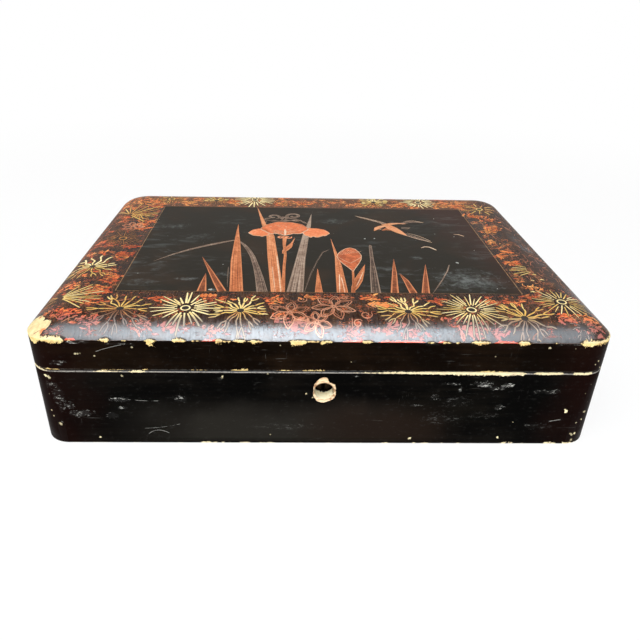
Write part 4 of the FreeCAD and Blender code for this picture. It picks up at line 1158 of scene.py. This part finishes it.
CLUSTERS = (               # x, y, half length, half width, marks, lean
    (-133, -94, 8, 3.2, 44, 0.7), (-119, -99, 6, 2.4, 26, 0.3), (-124, -82, 6, 4, 30, 0.5),
    (-92, -100.5, 6.5, 2.2, 28, 0.1), (-78, -102, 6, 2.2, 26, 0.4), (-87, -78, 6, 2.6, 24, 0.3),
    (-58, -79, 7.5, 3.2, 40, 0.3), (-56.5, -103.5, 5, 1.8, 20, 0), (-27, -79, 5.5, 3, 26, 0.2),
    (-22, -97, 4, 3, 22, 1), (-13, -100.5, 6.5, 2.4, 30, 0.2), (-8, -75.5, 5, 2, 18, 0),
    (24, -75.5, 6, 2.4, 22, 0.1), (14, -104, 6, 1.8, 18, 0), (34, -102, 7, 2.6, 30, 0.2),
    (44, -103.5, 6, 2, 20, 0.1), (61, -78, 5, 2.2, 20, -0.1), (66, -97.5, 5, 2.6, 26, 0.5),
    (75, -101.5, 6.5, 3.2, 34, -0.6), (90, -78.5, 5, 2.2, 22, -0.2), (88, -103.5, 5, 2, 20, 0.2),
    (101, -79, 7, 2.6, 26, -0.4), (112, -72.5, 4, 2, 16, 0.2), (124, -94, 5, 3, 28, 0.2),
    (133, -94.5, 8, 3.8, 60, -0.4), (135, -100.5, 7, 2.6, 34, -0.2), (120, -62, 4, 3, 20, 1),
    (118, 55, 5, 4, 34, 0.4), (126, 48, 5, 5, 36, 1), (121, 25, 5, 4, 44, 0.6), (127, 30, 4, 5, 30, 1),
    (116.5, 4, 4, 4, 24, 1), (115.5, -17, 4.5, 2.6, 26, -0.3), (118.5, -27.5, 4.5, 2.2, 36, -0.35),
)
BACK_CLUSTERS = (          # x, half length, marks
    (-132, 7, 60), (-96, 6, 50), (-62, 6, 50), (-24, 7, 70), (-10, 5, 40), (33, 4, 36), (66, 5, 50),
    (100, 6, 60), (114, 6, 50),
)
LEFT_CLUSTERS = (          # y, marks
    (37, 40), (31, 40), (24, 24), (-8, 34), (-20, 44), (-24, 30), (-52, 40), (-57, 40), (-66, 44),
    (-71, 30), (70, 30), (82, 30),
)


def border_ornament(gold, copper, warm, rng):
    """Flowers, scrolls, hairs and foliage, in the order in which each one's chances are drawn."""
    for x, y, reach, count, width, *tints in FINE_BURSTS:
        fine_burst(gold, rng, (x, y), reach, count, width, tints)
    for x, y, reach, count, width, low, high, *turned in FANS:
        fan(gold, rng, (x, y), reach, count, width, (low, high), *turned)
    for x, y, reach, arms, width, low, high, fade in BRANCHING:
        branching_burst(gold, rng, (x, y), reach, arms, width, (low, high), fade)
    for x, y, reach in OUTLINED:
        outlined_flower(copper, rng, (x, y), reach, rng.choice((6, 7)))
    for x, y, size, hand in CURLS:
        curl(copper, (x, y), size, 0.6, 1.3, 0.6, 0.6, hand)
    tendrils(copper, rng)
    for x, y, size in TWIGS:
        gold.line([(x - size, y), (x, y + 0.6), (x + size, y - 0.4)], dry_brush(1.1, rng), 0.9, 0.6)
    for x, y, heading, size in SPRAYS:
        leaf_spray(warm, rng, (x, y), heading, size)

    def leaves(x, y, size, marks, lean=0, glow=0):
        foliage(warm, gold.border, rng, (x, y), size, marks, lean, glow)

    for x, y, half_x, half_y, marks, lean in CLUSTERS:
        leaves(x, y, (half_x, half_y), int(marks * 1.3), lean, 0.3 if x > 110 and y > -65 else 0)
    for x, half_x, marks in BACK_CLUSTERS:
        leaves(x, rng.uniform(77, 82), (half_x, 3.6), marks, rng.uniform(-0.3, 0.3), 0.32)
        leaves(x + rng.uniform(-6, 6), rng.uniform(92, 99), (half_x, 4), marks // 3)
    for y, marks in LEFT_CLUSTERS:
        leaves(rng.uniform(-123, -117.5), y, (5.5, 2.6), marks, rng.uniform(-0.3, 0.5))
        leaves(rng.uniform(-141, -134), y + rng.uniform(-9, 9), (4, 3), marks // 3, 0.8)


HAIRS, SIDE_HAIRS = 480, 159       # tried in all, and those close together on the right side


def tendrils(copper, rng):
    """Fine curved hairs over the border."""
    for i in range(HAIRS):
        x, y = rng.uniform(-142, 142), rng.uniform(-103, 100)
        heading, length, bow = rng.uniform(0, TURN), rng.uniform(3, 8.5), rng.uniform(-1.2, 1.2)
        if i >= HAIRS - SIDE_HAIRS:
            x, y, heading = rng.uniform(122, 147), rng.uniform(-62, 90), rng.gauss(1.57, 0.5)
        if abs(x) < 114 and abs(y) < 72:
            continue
        end = polar((x, y), length, heading)
        middle = polar(((x + end[0]) / 2, (y + end[1]) / 2), bow, heading + math.pi / 2)
        if abs(end[0]) < 113 and abs(end[1]) < 71:
            continue
        copper.line([(x, y), middle, end], tapered(rng.uniform(0.3, 0.6)), rng.uniform(-0.1, 0.45), 0.9)


FOOT = -69.2               # the y from which the irises grow, at the flat's front line
# The blades of each paint: tint, then (x, y, width) from the root to the tip.
ORANGE_BLADES = (
    (-0.1, (-65.2, FOOT, 5.3), (-65.5, -60, 3.5), (-65.8, -46.6, 0.1)),
    (-0.1, (-54, FOOT, 4.8), (-58.6, -57, 3.9), (-62.6, -46, 2.8), (-71, -23.5, 0.1)),
    (0.42, (-46.2, FOOT, 7.5), (-49.9, -28, 6.4), (-51.8, 2.4, 3.7), (-53, 20, 1.6), (-53.6, 33.3, 0.1)),
    (0.62, (-23.8, FOOT, 6.9), (-27.8, -21.6, 6.4), (-30.4, 12, 5.2), (-35.5, 33, 3.3), (-42.4, 70.6, 0.1)),
    (0.42, (-0.9, FOOT, 4.3), (-0.7, -56, 2.6), (-0.5, -38.8, 0.1)),
    (0.5, (12.1, FOOT, 6.2), (12.3, -35.7, 4.1), (12.1, -20.5, 2.2), (10.9, -4, 1), (10, 8.7, 0.1)),
    (-0.02, (41, FOOT, 4.5), (44.8, -43.4, 2.8), (47.4, -23.5, 0.1)),
    (-0.12, (51.4, FOOT, 4.4), (49.9, -54, 3), (47.6, -44, 0.1)),
    (-0.12, (58.2, FOOT, 4.6), (61.7, -51.2, 2.9), (65.6, -31.4, 0.1)),
    (0.36, (17.4, FOOT, 1), (19.6, -62.5, 4), (22.3, -54, 4.9), (25.8, -42, 2.8), (28.5, -32, 0.1)),
)
GREY_BLADES = (
    (0.72, (-14.1, FOOT, 9.2), (-10.4, -24, 5.8), (-6.7, 12.7, 4.5), (-4.2, 32, 3.2), (-1.6, 56.2, 0.1)),
    (0.16, (30.6, FOOT, 5.5), (32.4, -42.3, 4), (33.5, -27.7, 2.3), (35.2, -2.8, 1.8), (35.3, -1.6, 0.7)),
    (0.45, (-32.1, FOOT, 6.1), (-34.5, -52, 4.7), (-37.1, -36.9, 3.6), (-40.2, -22, 3.1),
     (-43.2, -12.4, 2.7), (-46.6, -3.8, 2.2), (-49.5, 1, 1.6), (-54.2, 4, 1.5), (-62.4, -0.4, 2.2),
     (-71.6, -5.8, 2.3), (-80.5, -11.9, 1.8), (-90, -20, 1.2), (-99.8, -30.6, 0.1)),
)
# Fine lines of one paint: tint, width, then the places along the line.
CREAM_LINES = (
    (0.55, 0.7, (-21.8, FOOT), (-23.5, -45), (-25.2, -20)),
    (0.5, 0.4, (-24.9, FOOT), (-26.6, -48), (-27.6, -36)),
    (0.8, 0.5, (10.6, FOOT), (11.4, -56), (12, -46)),
    (0.7, 0.4, (13.4, FOOT), (13.2, -58), (12.8, -50)),
    (0.6, 0.4, (20.4, -62), (23.6, -52), (26.5, -42)),
)
GREY_LINES = (
    (0.1, 0.7, (-8.9, FOOT), (-5, -47.3), (-0.1, -27), (3.6, -14.4), (8.4, -9.4)),
    (0.5, 0.7, (62.2, FOOT), (71.3, -52.3), (77.2, -39.8), (80.4, -31)),
    (0.1, 0.5, (-51.6, -64), (-52.8, -50), (-53.6, -37.2)),
)


def blades(strokes, rows):
    """Leaf blades whose width goes from place to place."""
    for tint, *places in rows:
        steps = [math.dist(a[:2], b[:2]) for a, b in zip(places, places[1:])]
        at = np.cumsum([0] + steps) / sum(steps)
        width = measured(*((t, place[2]) for t, place in zip(at, places)))
        strokes.line([place[:2] for place in places], width, tint, 1.8, lanes=5)


def iris_bed(orange, grey, bloom, cream, rng):
    """The leaves and stems, then the flower and the bud over them."""
    blades(orange, ORANGE_BLADES)
    blades(grey, GREY_BLADES)
    for tint, width, *points in CREAM_LINES:
        cream.line(points, tapered(width), tint)
    for tint, width, *points in GREY_LINES:
        grey.line(points, tapered(width), tint, 1.2)
    iris_flower(orange, grey, bloom, cream, rng)
    iris_bud(orange, bloom, cream)


def petal(rng, centre, left, right, up, down, lobes):
    """An outline that comes to a point at both sides, with a scalloped lower edge."""
    points = []
    for angle in np.arange(84) * TURN / 84:
        cosine, sine = math.cos(angle), math.sin(angle)
        reach = up * (1 + 0.04 * math.sin(5 * angle + centre[0]) + 0.03 * math.sin(11 * angle))
        if sine < 0:
            scallop = 0.2 * abs(math.sin(lobes / 2 * angle + 0.6))
            reach = down * (1 - scallop + rng.uniform(-0.05, 0.05))
        side = right if cosine > 0 else left
        rise = reach * math.copysign(abs(sine) ** 1.25, sine)
        points.append((centre[0] + side * cosine, centre[1] + rise))
    return points


def iris_flower(orange, grey, bloom, cream, rng):
    """An open iris seen from the side: a broad fall, two side petals and scrolled standards."""
    orange.line([(-20.7, FOOT), (-20.5, -36), (-20, -20), (-20.9, -2), (-20.7, 12)],
                measured((0, 2.2), (0.3, 1.7), (0.65, 1.7), (0.8, 1.9), (1, 3)), 0.5, 1.6, lanes=2)
    orange.line([(-21.6, -17), (-20.4, -12), (-18, -7), (-16.4, -2), (-13.8, 9.8)],
                measured((0, 0.8), (0.2, 3.4), (0.42, 3.6), (0.65, 1.5), (1, 0.1)), 0.62, 1, lanes=3)
    for x, y, hand in ((-23.3, 10, 1), (-18.4, 10.2, -1)):
        curl(bloom, (x, y), 2.4, 0.5, 1, 1.3, 0.8, hand)
    for sizes in (((-36, 17.5), 9.2, 5, 8.5, 7, 9), ((-2, 18.5), 6.5, 11.6, 9, 8.6, 11)):
        side = petal(rng, *sizes)
        bloom.shape(side, 0.62, 6)
        cream.line(side[40:] + side[:2], 0.6, 0.45, 0.8)
    fall = petal(rng, (-21, 25.5), 16.4, 16.2, 13.4, 12.4, 9)
    bloom.shape(fall, 0.36, 8)
    cream.line(fall[42:] + fall[:1], 0.8, 0.55, 0.8)
    cream.line(fall[:43], 0.4, 0.1, 0.8)
    for angle in np.linspace(-2.7, -0.45, 12):
        cosine, sine = math.cos(angle), math.sin(angle)
        vein = [(-20.8 + 4 * cosine, 23.5 + 2.5 * sine), (-20.8 + 11 * cosine, 24.5 + 8.5 * sine)]
        cream.line(vein, tapered(0.38), rng.uniform(0.1, 0.4))
    cream.line([(-20.6, 14), (-20.4, 19), (-20.8, 25)], tapered(1.5, 0.3, 0.5), 0.75)
    for _ in range(60):
        x, y = rng.uniform(-33, -9), rng.uniform(17, 36)
        if ((x + 21) / 14) ** 2 + ((y - 26) / 10.5) ** 2 < 1:
            end = (x + rng.uniform(0.8, 2), y + rng.uniform(-0.6, 0.6))
            cream.line([(x, y), end], 0.32, rng.uniform(0, 0.5), 0.6)
    for x, y, size, turns, hand in ((-29.4, 49.5, 4.8, 1.1, 1), (-14.6, 51.5, 6.2, 1.35, -1),
                                    (-33, 44.5, 2.8, 0.8, -1), (-22.5, 46.8, 3.2, 0.9, 1)):
        curl(grey, (x, y), size, -1.2, turns, 2.2, 0.42, hand)
    for width, *points in ((3, (-34, 41.5), (-26.5, 41), (-18.2, 42), (-10.1, 42.5), (-5.5, 36)),
                           (2, (-27, 46), (-21.5, 49.5), (-17, 46.5), (-12, 45.5)),
                           (1.4, (-24, 42), (-22, 47.5), (-18.5, 51)),
                           (1.6, (-34, 40.5), (-35.5, 36), (-35, 31))):
        grey.line(points, dry_brush(width, rng), 0.38, 0.8, lanes=2)


def iris_bud(orange, bloom, cream):
    """A half-open flower on its own stem, folded over at the middle."""
    orange.line([(18.5, FOOT), (19.4, -56), (20.4, -41)], 1.3, 0.35, 2)
    cup = [(12.2, -20.6), (13.6, -15.6), (16.1, -11.2), (19, -7.8), (21.6, -6.6), (24.6, -8.6),
           (26.6, -13.4), (27.7, -18.8), (27, -24.6), (25.2, -30.2), (22.8, -36.2), (20.5, -42),
           (18.2, -37), (15.2, -31.1), (12.9, -25)]
    bloom.shape(cup, 0.12, 6)
    cream.line(cup + cup[:1], 0.5, 0.4, 0.8)
    bloom.line([(12.6, -22), (16, -28.5), (19.8, -33.4), (23.6, -29), (27, -23)],
               measured((0, 0.5), (0.3, 3.2), (0.5, 2.6), (0.7, 3.2), (1, 0.5)), 0.02, 0.8, lanes=2)
    cream.line([(12.6, -20.8), (16.2, -26.2), (19.8, -30.6), (23.4, -26.6), (27.2, -21.6)], 0.4, 0.35)
    for i in range(8):
        x = 14 + i * 1.55
        cream.line([(x, -18.5 + i * 0.6), (x + 3.4, -10 - i * 0.35)], 0.26, 0.2)


# The bird's marks of each paint: tint, spacing, lanes, places along the mark, (share, width) pairs.
GREY_MARKS = (
    (0.55, 1, 3, ((52, 36), (45.6, 42.4), (38, 47.8), (30.2, 53.2)),
     ((0, 3.4), (0.35, 3), (0.8, 2.2), (1, 0.1))),
    (0.4, 1, 3, ((62, 38), (68, 42.5), (73, 42.8), (79.5, 40.6)), ((0, 3), (0.5, 4.4), (1, 0.1))),
    (0.1, 0.8, 2, ((61, 30), (64.5, 29.4), (67.5, 31)), ((0, 2.2), (0.6, 3.4), (1, 0.4))),
    (0.25, 1, 3, ((61, 18.5), (68, 12), (77.3, 3.8)), ((0, 3.8), (0.5, 3.4), (1, 0.3))),
)
ORANGE_MARKS = (
    (0.85, 0.8, 3, ((41, 23.6), (43.6, 28.6), (46.6, 31.8), (50.8, 34)),
     ((0, 0.3), (0.4, 4), (0.75, 3.6), (1, 2))),
    (0.9, 0.8, 3, ((48, 35.5), (54, 37.4), (60, 38.8), (65.5, 38.2)), ((0, 1.6), (0.4, 3.6), (1, 0.6))),
    (0.9, 0.8, 4, ((50.5, 36.6), (54, 29.6), (58.4, 22), (62.6, 15.4)),
     ((0, 4.4), (0.35, 7.2), (0.7, 5), (1, 0.4))),
    (0.25, 0.8, 2, ((46.6, 24.6), (50, 27.2), (54.5, 25)), ((0, 0.6), (0.5, 3.6), (1, 0.6))),
)
BIRD_LINES = (             # places along each fine cream line
    ((62, 15.8), (69.6, 9.4), (77.4, 3.6)), ((63.6, 20.4), (71, 14.4), (77, 6)),
    ((52, 37.2), (45, 43.6), (30.6, 53)), ((66, 43), (72, 44.6), (79, 41)),
    ((45, 30), (47.6, 32.4), (50.6, 33.4)), ((44.6, 25.4), (46.6, 27.4), (47.4, 27)),
)


def swallow(orange, grey, cream):
    """A small bird in flight, drawn with a few marks."""
    for strokes, marks in ((grey, GREY_MARKS), (orange, ORANGE_MARKS)):
        for tint, spacing, lanes, places, widths in marks:
            strokes.line(places, measured(*widths), tint, spacing, lanes)
    for points in BIRD_LINES:
        cream.line(points, tapered(0.42), 0.42, 0.8)
    for t in 0.12 + 0.14 * np.arange(6):
        cream.line([(51 - 20 * t, 36.4 + 15.6 * t), (49.4 - 20 * t, 39.6 + 15 * t)], 0.26, 0.25)
    cream.line([(68.1, -5.4), (70.8, -3.6), (73.6, -3.8), (77.5, -9.1)], tapered(1.1), 0.5)
    cream.line([(95.4, 18.9), (98.8, 18.5), (101.9, 15.2)], tapered(0.8), 0.3)


def panel_line(strokes):
    """The fine line round the flat: brighter along the sides than at the front and back."""
    corners = [(-LINE_X, -LINE_Y), (LINE_X, -LINE_Y), (LINE_X, LINE_Y), (-LINE_X, LINE_Y)]
    looks = ((0.34, 0.16), (0.42, 0.42), (0.30, 0.10), (0.42, 0.34))
    for start, end, (width, tint) in zip(corners, corners[1:] + corners[:1], looks):
        strokes.line([start, end], width, tint, 4)


# ---- The front board with its torn keyhole -----------------------------------------------------
# The torn hollow's levels: depth into the board, and how much wider than the rim.
TORN_LEVELS = ((-1, 0.25), (0.02, 0.08), (0.28, -0.35), (0.42, -1.1))
RIM_POINTS = 120


def torn_cutter(material):
    """The shape of the torn hollow: its ragged rim, narrower step by step into the board."""
    turns, reaches = zip(*TORN_RIM)
    angles = [TURN * i / RIM_POINTS for i in range(RIM_POINTS)]
    rim = []
    for angle in angles:
        away = Vector((math.cos(angle), math.sin(angle), 0))
        reach = float(np.interp(math.degrees(angle), turns, reaches, period=360))
        rim.append(reach + noise.noise(away * 7.5) * 0.25)
    vertices, faces = [], []
    for depth, grow in TORN_LEVELS:
        for angle, reach in zip(angles, rim):
            x, z = polar((KEY_X, KEY_Z), max(reach + grow, KEY_R - 0.5), angle)
            vertices.append((x, depth - HALF_Y, z))
    last = (len(TORN_LEVELS) - 1) * RIM_POINTS
    for first in range(0, last, RIM_POINTS):
        faces += ring_faces(first, first + RIM_POINTS, RIM_POINTS)
    faces.append(tuple(range(RIM_POINTS))[::-1])
    faces.append(tuple(range(last, last + RIM_POINTS)))
    cutter = mesh_object("cutter", vertices, faces, [material], smooth=False)
    with edited(cutter.data) as bm:
        bmesh.ops.recalc_face_normals(bm, faces=bm.faces)
    return cutter


def torn_front(lacquer, torn):
    """The front board with a shallow torn hollow round the bore, where the escutcheon was nailed."""
    board = bpy.data.objects.new("front_board_torn", NODES["base_front_board"].data.copy())
    board.data.materials.clear()
    board.data.materials.append(lacquer)
    board.data.materials.append(torn)
    bpy.context.scene.collection.objects.link(board)
    cutter = torn_cutter(torn)
    cut = board.modifiers.new("torn", "BOOLEAN")
    cut.operation, cut.solver, cut.object = "DIFFERENCE", "EXACT", cutter
    cut.material_mode = "TRANSFER"
    bpy.context.view_layer.update()
    made = bpy.data.meshes.new_from_object(board.evaluated_get(bpy.context.evaluated_depsgraph_get()))
    board.modifiers.clear()
    board.data = made
    bpy.data.objects.remove(cutter)
    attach(board, "base")
    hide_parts("base_front_board")


# ---- Floor, light and camera -------------------------------------------------------------------
FLOOR_RADIUS = 60000
SEEN_RAYS = ("Is Camera Ray", "Is Glossy Ray", "Is Transmission Ray")
COOL = (0.78, 0.90, 1)
BOX_MIDDLE, LID_EDGE = (0, 0, 30), (0, -120, 70)         # what the lamps point at
LAMPS = {                  # place, aim, size, watts, colour, the kind of ray that doesn't see it
    "key": ((-550, -950, 1500), BOX_MIDDLE, (1300, 1100), 26, (1, 1, 1), None),
    "fill": ((120, -1700, 620), BOX_MIDDLE, (900, 600), 16, (1, 1, 1), "glossy"),
    "window": ((0, -460, 980), LID_EDGE, (740, 720), 255, COOL, "diffuse"),
    "sky": ((0, -440, 1200), LID_EDGE, (2200, 800), 222, COOL, "diffuse"),
}


def stage_floor():
    """A pale floor that catches shadows near the box and glows white further out."""
    net = Net("pale_floor")
    path = net.node("LightPath")
    seen = net.highest([Value(net, path.outputs[name]) for name in SEEN_RAYS])
    glow = net.node("Emission", Color=(1, 1, 1, 1))
    both = net.node("MixShader", Fac=seen * net.step(net.hypot(net.x, net.y), 260, 900, (0.84, 1)))
    net.tree.links.new(net.shader.outputs[0], both.inputs[1])
    net.tree.links.new(glow.outputs[0], both.inputs[2])
    net.tree.links.new(both.outputs[0], net.out.inputs[0])
    net.finish(net.mix(net.noise(160, 3, 0.5), (0.84, 0.84, 0.84), (0.88, 0.88, 0.875)), 0.8)
    count = 96
    rim = [(*polar((0, 0), FLOOR_RADIUS, TURN * i / count), 0) for i in range(count)]
    faces = [(0, 1 + i, 1 + (i + 1) % count) for i in range(count)]
    floor = mesh_object("floor", [(0, 0, 0), *rim], faces, [net.material], smooth=False)


def white_world():
    """A white background, dimmer for the light that it sheds than for the eye."""
    world = bpy.data.worlds.new("studio")
    bpy.context.scene.world = world
    world.use_nodes = True
    tree = world.node_tree
    path = tree.nodes.new("ShaderNodeLightPath")
    seen = path.outputs[SEEN_RAYS[0]]
    for name in SEEN_RAYS[1:]:
        either = tree.nodes.new("ShaderNodeMath")
        either.operation = "MAXIMUM"
        tree.links.new(seen, either.inputs[0])
        tree.links.new(path.outputs[name], either.inputs[1])
        seen = either.outputs[0]
    level = tree.nodes.new("ShaderNodeMapRange")
    level.inputs["To Min"].default_value = 0.42
    back = tree.nodes["Background"]
    back.inputs["Color"].default_value = (1, 1, 1, 1)
    tree.links.new(seen, level.inputs["Value"])
    tree.links.new(level.outputs[0], back.inputs["Strength"])


def softbox(name, place, aim, size, watts, colour, unseen_by):
    """A rectangular lamp, which one kind of ray may pass by."""
    lamp = bpy.data.lights.new(name, "AREA")
    lamp.shape = "RECTANGLE"
    lamp.size, lamp.size_y = size[0] * MM, size[1] * MM
    lamp.energy = watts
    lamp.color = colour
    thing = bpy.data.objects.new(name, lamp)
    thing.location = Vector(place) * MM
    thing.rotation_euler = (Vector(aim) - Vector(place)).to_track_quat("-Z", "Y").to_euler()
    thing.visible_diffuse = unseen_by != "diffuse"
    thing.visible_glossy = unseen_by != "glossy"
    bpy.context.scene.collection.objects.link(thing)


def camera():
    """The photograph's camera, fitted to the box's corners."""
    right = Vector((0.99965, -0.01760, 0.01956))
    up = Vector((-0.00933, 0.45791, 0.88895))
    ahead = Vector((0.02460, 0.88883, -0.45759))
    place = Vector((-16.338, -351.189, 220.841))
    pixels, focal_pixels, middle_x, middle_y = 640, 579.216, 305.089, 289.208
    data = bpy.data.cameras.new("camera")
    data.sensor_width = 36
    data.lens = focal_pixels * data.sensor_width / pixels
    data.shift_x = (pixels / 2 - middle_x) / pixels
    data.shift_y = (middle_y - pixels / 2) / pixels
    data.clip_start, data.clip_end = 10 * MM, 100000 * MM
    thing = bpy.data.objects.new("camera", data)
    turn = Matrix((right, up, -ahead)).transposed().to_4x4()
    thing.matrix_world = Matrix.Translation(place * MM) @ turn
    bpy.context.scene.collection.objects.link(thing)
    bpy.context.scene.camera = thing


# ---- Putting it together -----------------------------------------------------------------------
SEED = 11                  # of the ornament's chances
METALS = {                 # three tarnish colours from dark to bright, then cloudy_metal's numbers
    "bronze": ((0.05, 0.030, 0.018), (0.16, 0.095, 0.05), (0.30, 0.20, 0.10), 9, 0.42, 0.5, 0.85),
    "fitting_brass": ((0.10, 0.065, 0.03), (0.30, 0.20, 0.085), (0.48, 0.34, 0.15), 6, 0.45),
    "screw_brass": ((0.16, 0.11, 0.05), (0.38, 0.27, 0.12), (0.55, 0.42, 0.20), 2, 0.40),
    "lock_steel": ((0.08, 0.075, 0.07), (0.22, 0.21, 0.20), (0.36, 0.35, 0.34), 4, 0.40),
    # the lock is near-black: tarnish, and painted shade so that the keyhole shows a dark void
    "tarnished_lock": ((0.006, 0.004, 0.003), (0.016, 0.010, 0.006), (0.05, 0.032, 0.016), 5, 0.5, 0.15, 0.3),
}
OTHER_FINISH = {           # nodes whose finish isn't that of their slot
    "lock_case": "tarnished_lock",
    "lock_cap": "tarnished_lock",
    "base_bottom_board": "inside_lacquer",
}


def dress_fittings():
    """Materials for the CAD's own nodes."""
    slots = {item["node"]: item["material_slot"] for item in frame["record"]["subparts"]}
    finishes = {
        "base_lacquer": board_lacquer("base_lacquer", False),
        "lid_lacquer": board_lacquer("lid_lacquer", True),
        "inside_lacquer": flaked_lacquer("inside_lacquer"),
        "slate": stone("slate"),
    }
    for name, (dark, middle, bright, *numbers) in METALS.items():
        finishes[name] = cloudy_metal(name, [(0.3, dark), (0.6, middle), (0.8, bright)], *numbers)
    for name, node in NODES.items():
        finish = finishes.get(OTHER_FINISH.get(name, slots[name]))
        if finish:
            node.data.materials.clear()
            node.data.materials.append(finish)
    return finishes


def paint_lid(rng):
    """All the painted ornament, each paint at its own height over the lacquer."""
    dull = 0.036
    border = Strokes("ray_borders", paint("border_paint", DARK, 0.2), 0.045)
    gold = Strokes("gold_flowers", paint("gold_paint", GOLD, 0.30, highlight_muted_colour=(0.17, 0.125, 0.095)), 0.065)
    warm = Strokes("foliage_marks", paint("orange_paint", WARM, 0.42, highlight_muted_colour=(0.27, 0.088, 0.078)), 0.030)
    copper = Strokes("copper_flowers", paint("copper_paint", COPPER, 0.34), 0.055)
    lines = Strokes("panel_line", paint("line_paint", TAN, 0.36, specular=dull), 0.065)
    blade_paint = paint("blade_paint", BLADE, 0.28, 1.15, (0.66, 0.25, 0.105), specular=dull)
    orange = Strokes("orange_blades", blade_paint, 0.040)
    grey_paint = paint("grey_paint", GREY, 0.32, 1.3, (0.30, 0.21, 0.15), specular=dull)
    grey = Strokes("grey_blades", grey_paint, 0.030)
    bloom = Strokes("iris_petals", paint("bloom_paint", BLOOM, 0.26, specular=dull), 0.055)
    cream = Strokes("cream_lines", paint("cream_paint", CREAM, 0.32, specular=dull), 0.070)
    border_ornament(Rays(gold, border), copper, warm, rng)
    panel_line(lines)
    iris_bed(orange, grey, bloom, cream, rng)
    swallow(orange, grey, cream)
    for strokes in (warm, border, gold, copper, lines, orange, grey, bloom, cream):
        strokes.make()


def main():
    """The stage, the case's finishes, the torn board, the panel and its ornament."""
    camera()
    stage_floor()
    white_world()
    for name, settings in LAMPS.items():
        softbox(name, *settings)
    finishes = dress_fittings()
    torn_front(finishes["base_lacquer"], torn_ground("torn_ground"))
    top = crowned_panel([border_lacquer("border_lacquer"), flat_lacquer("flat_lacquer"),
                         finishes["lid_lacquer"], finishes["inside_lacquer"]])
    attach(top, "lid")
    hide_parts("lid_top_panel")
    paint_lid(random.Random(SEED))
    bpy.context.scene.view_settings.view_transform = "Standard"


main()
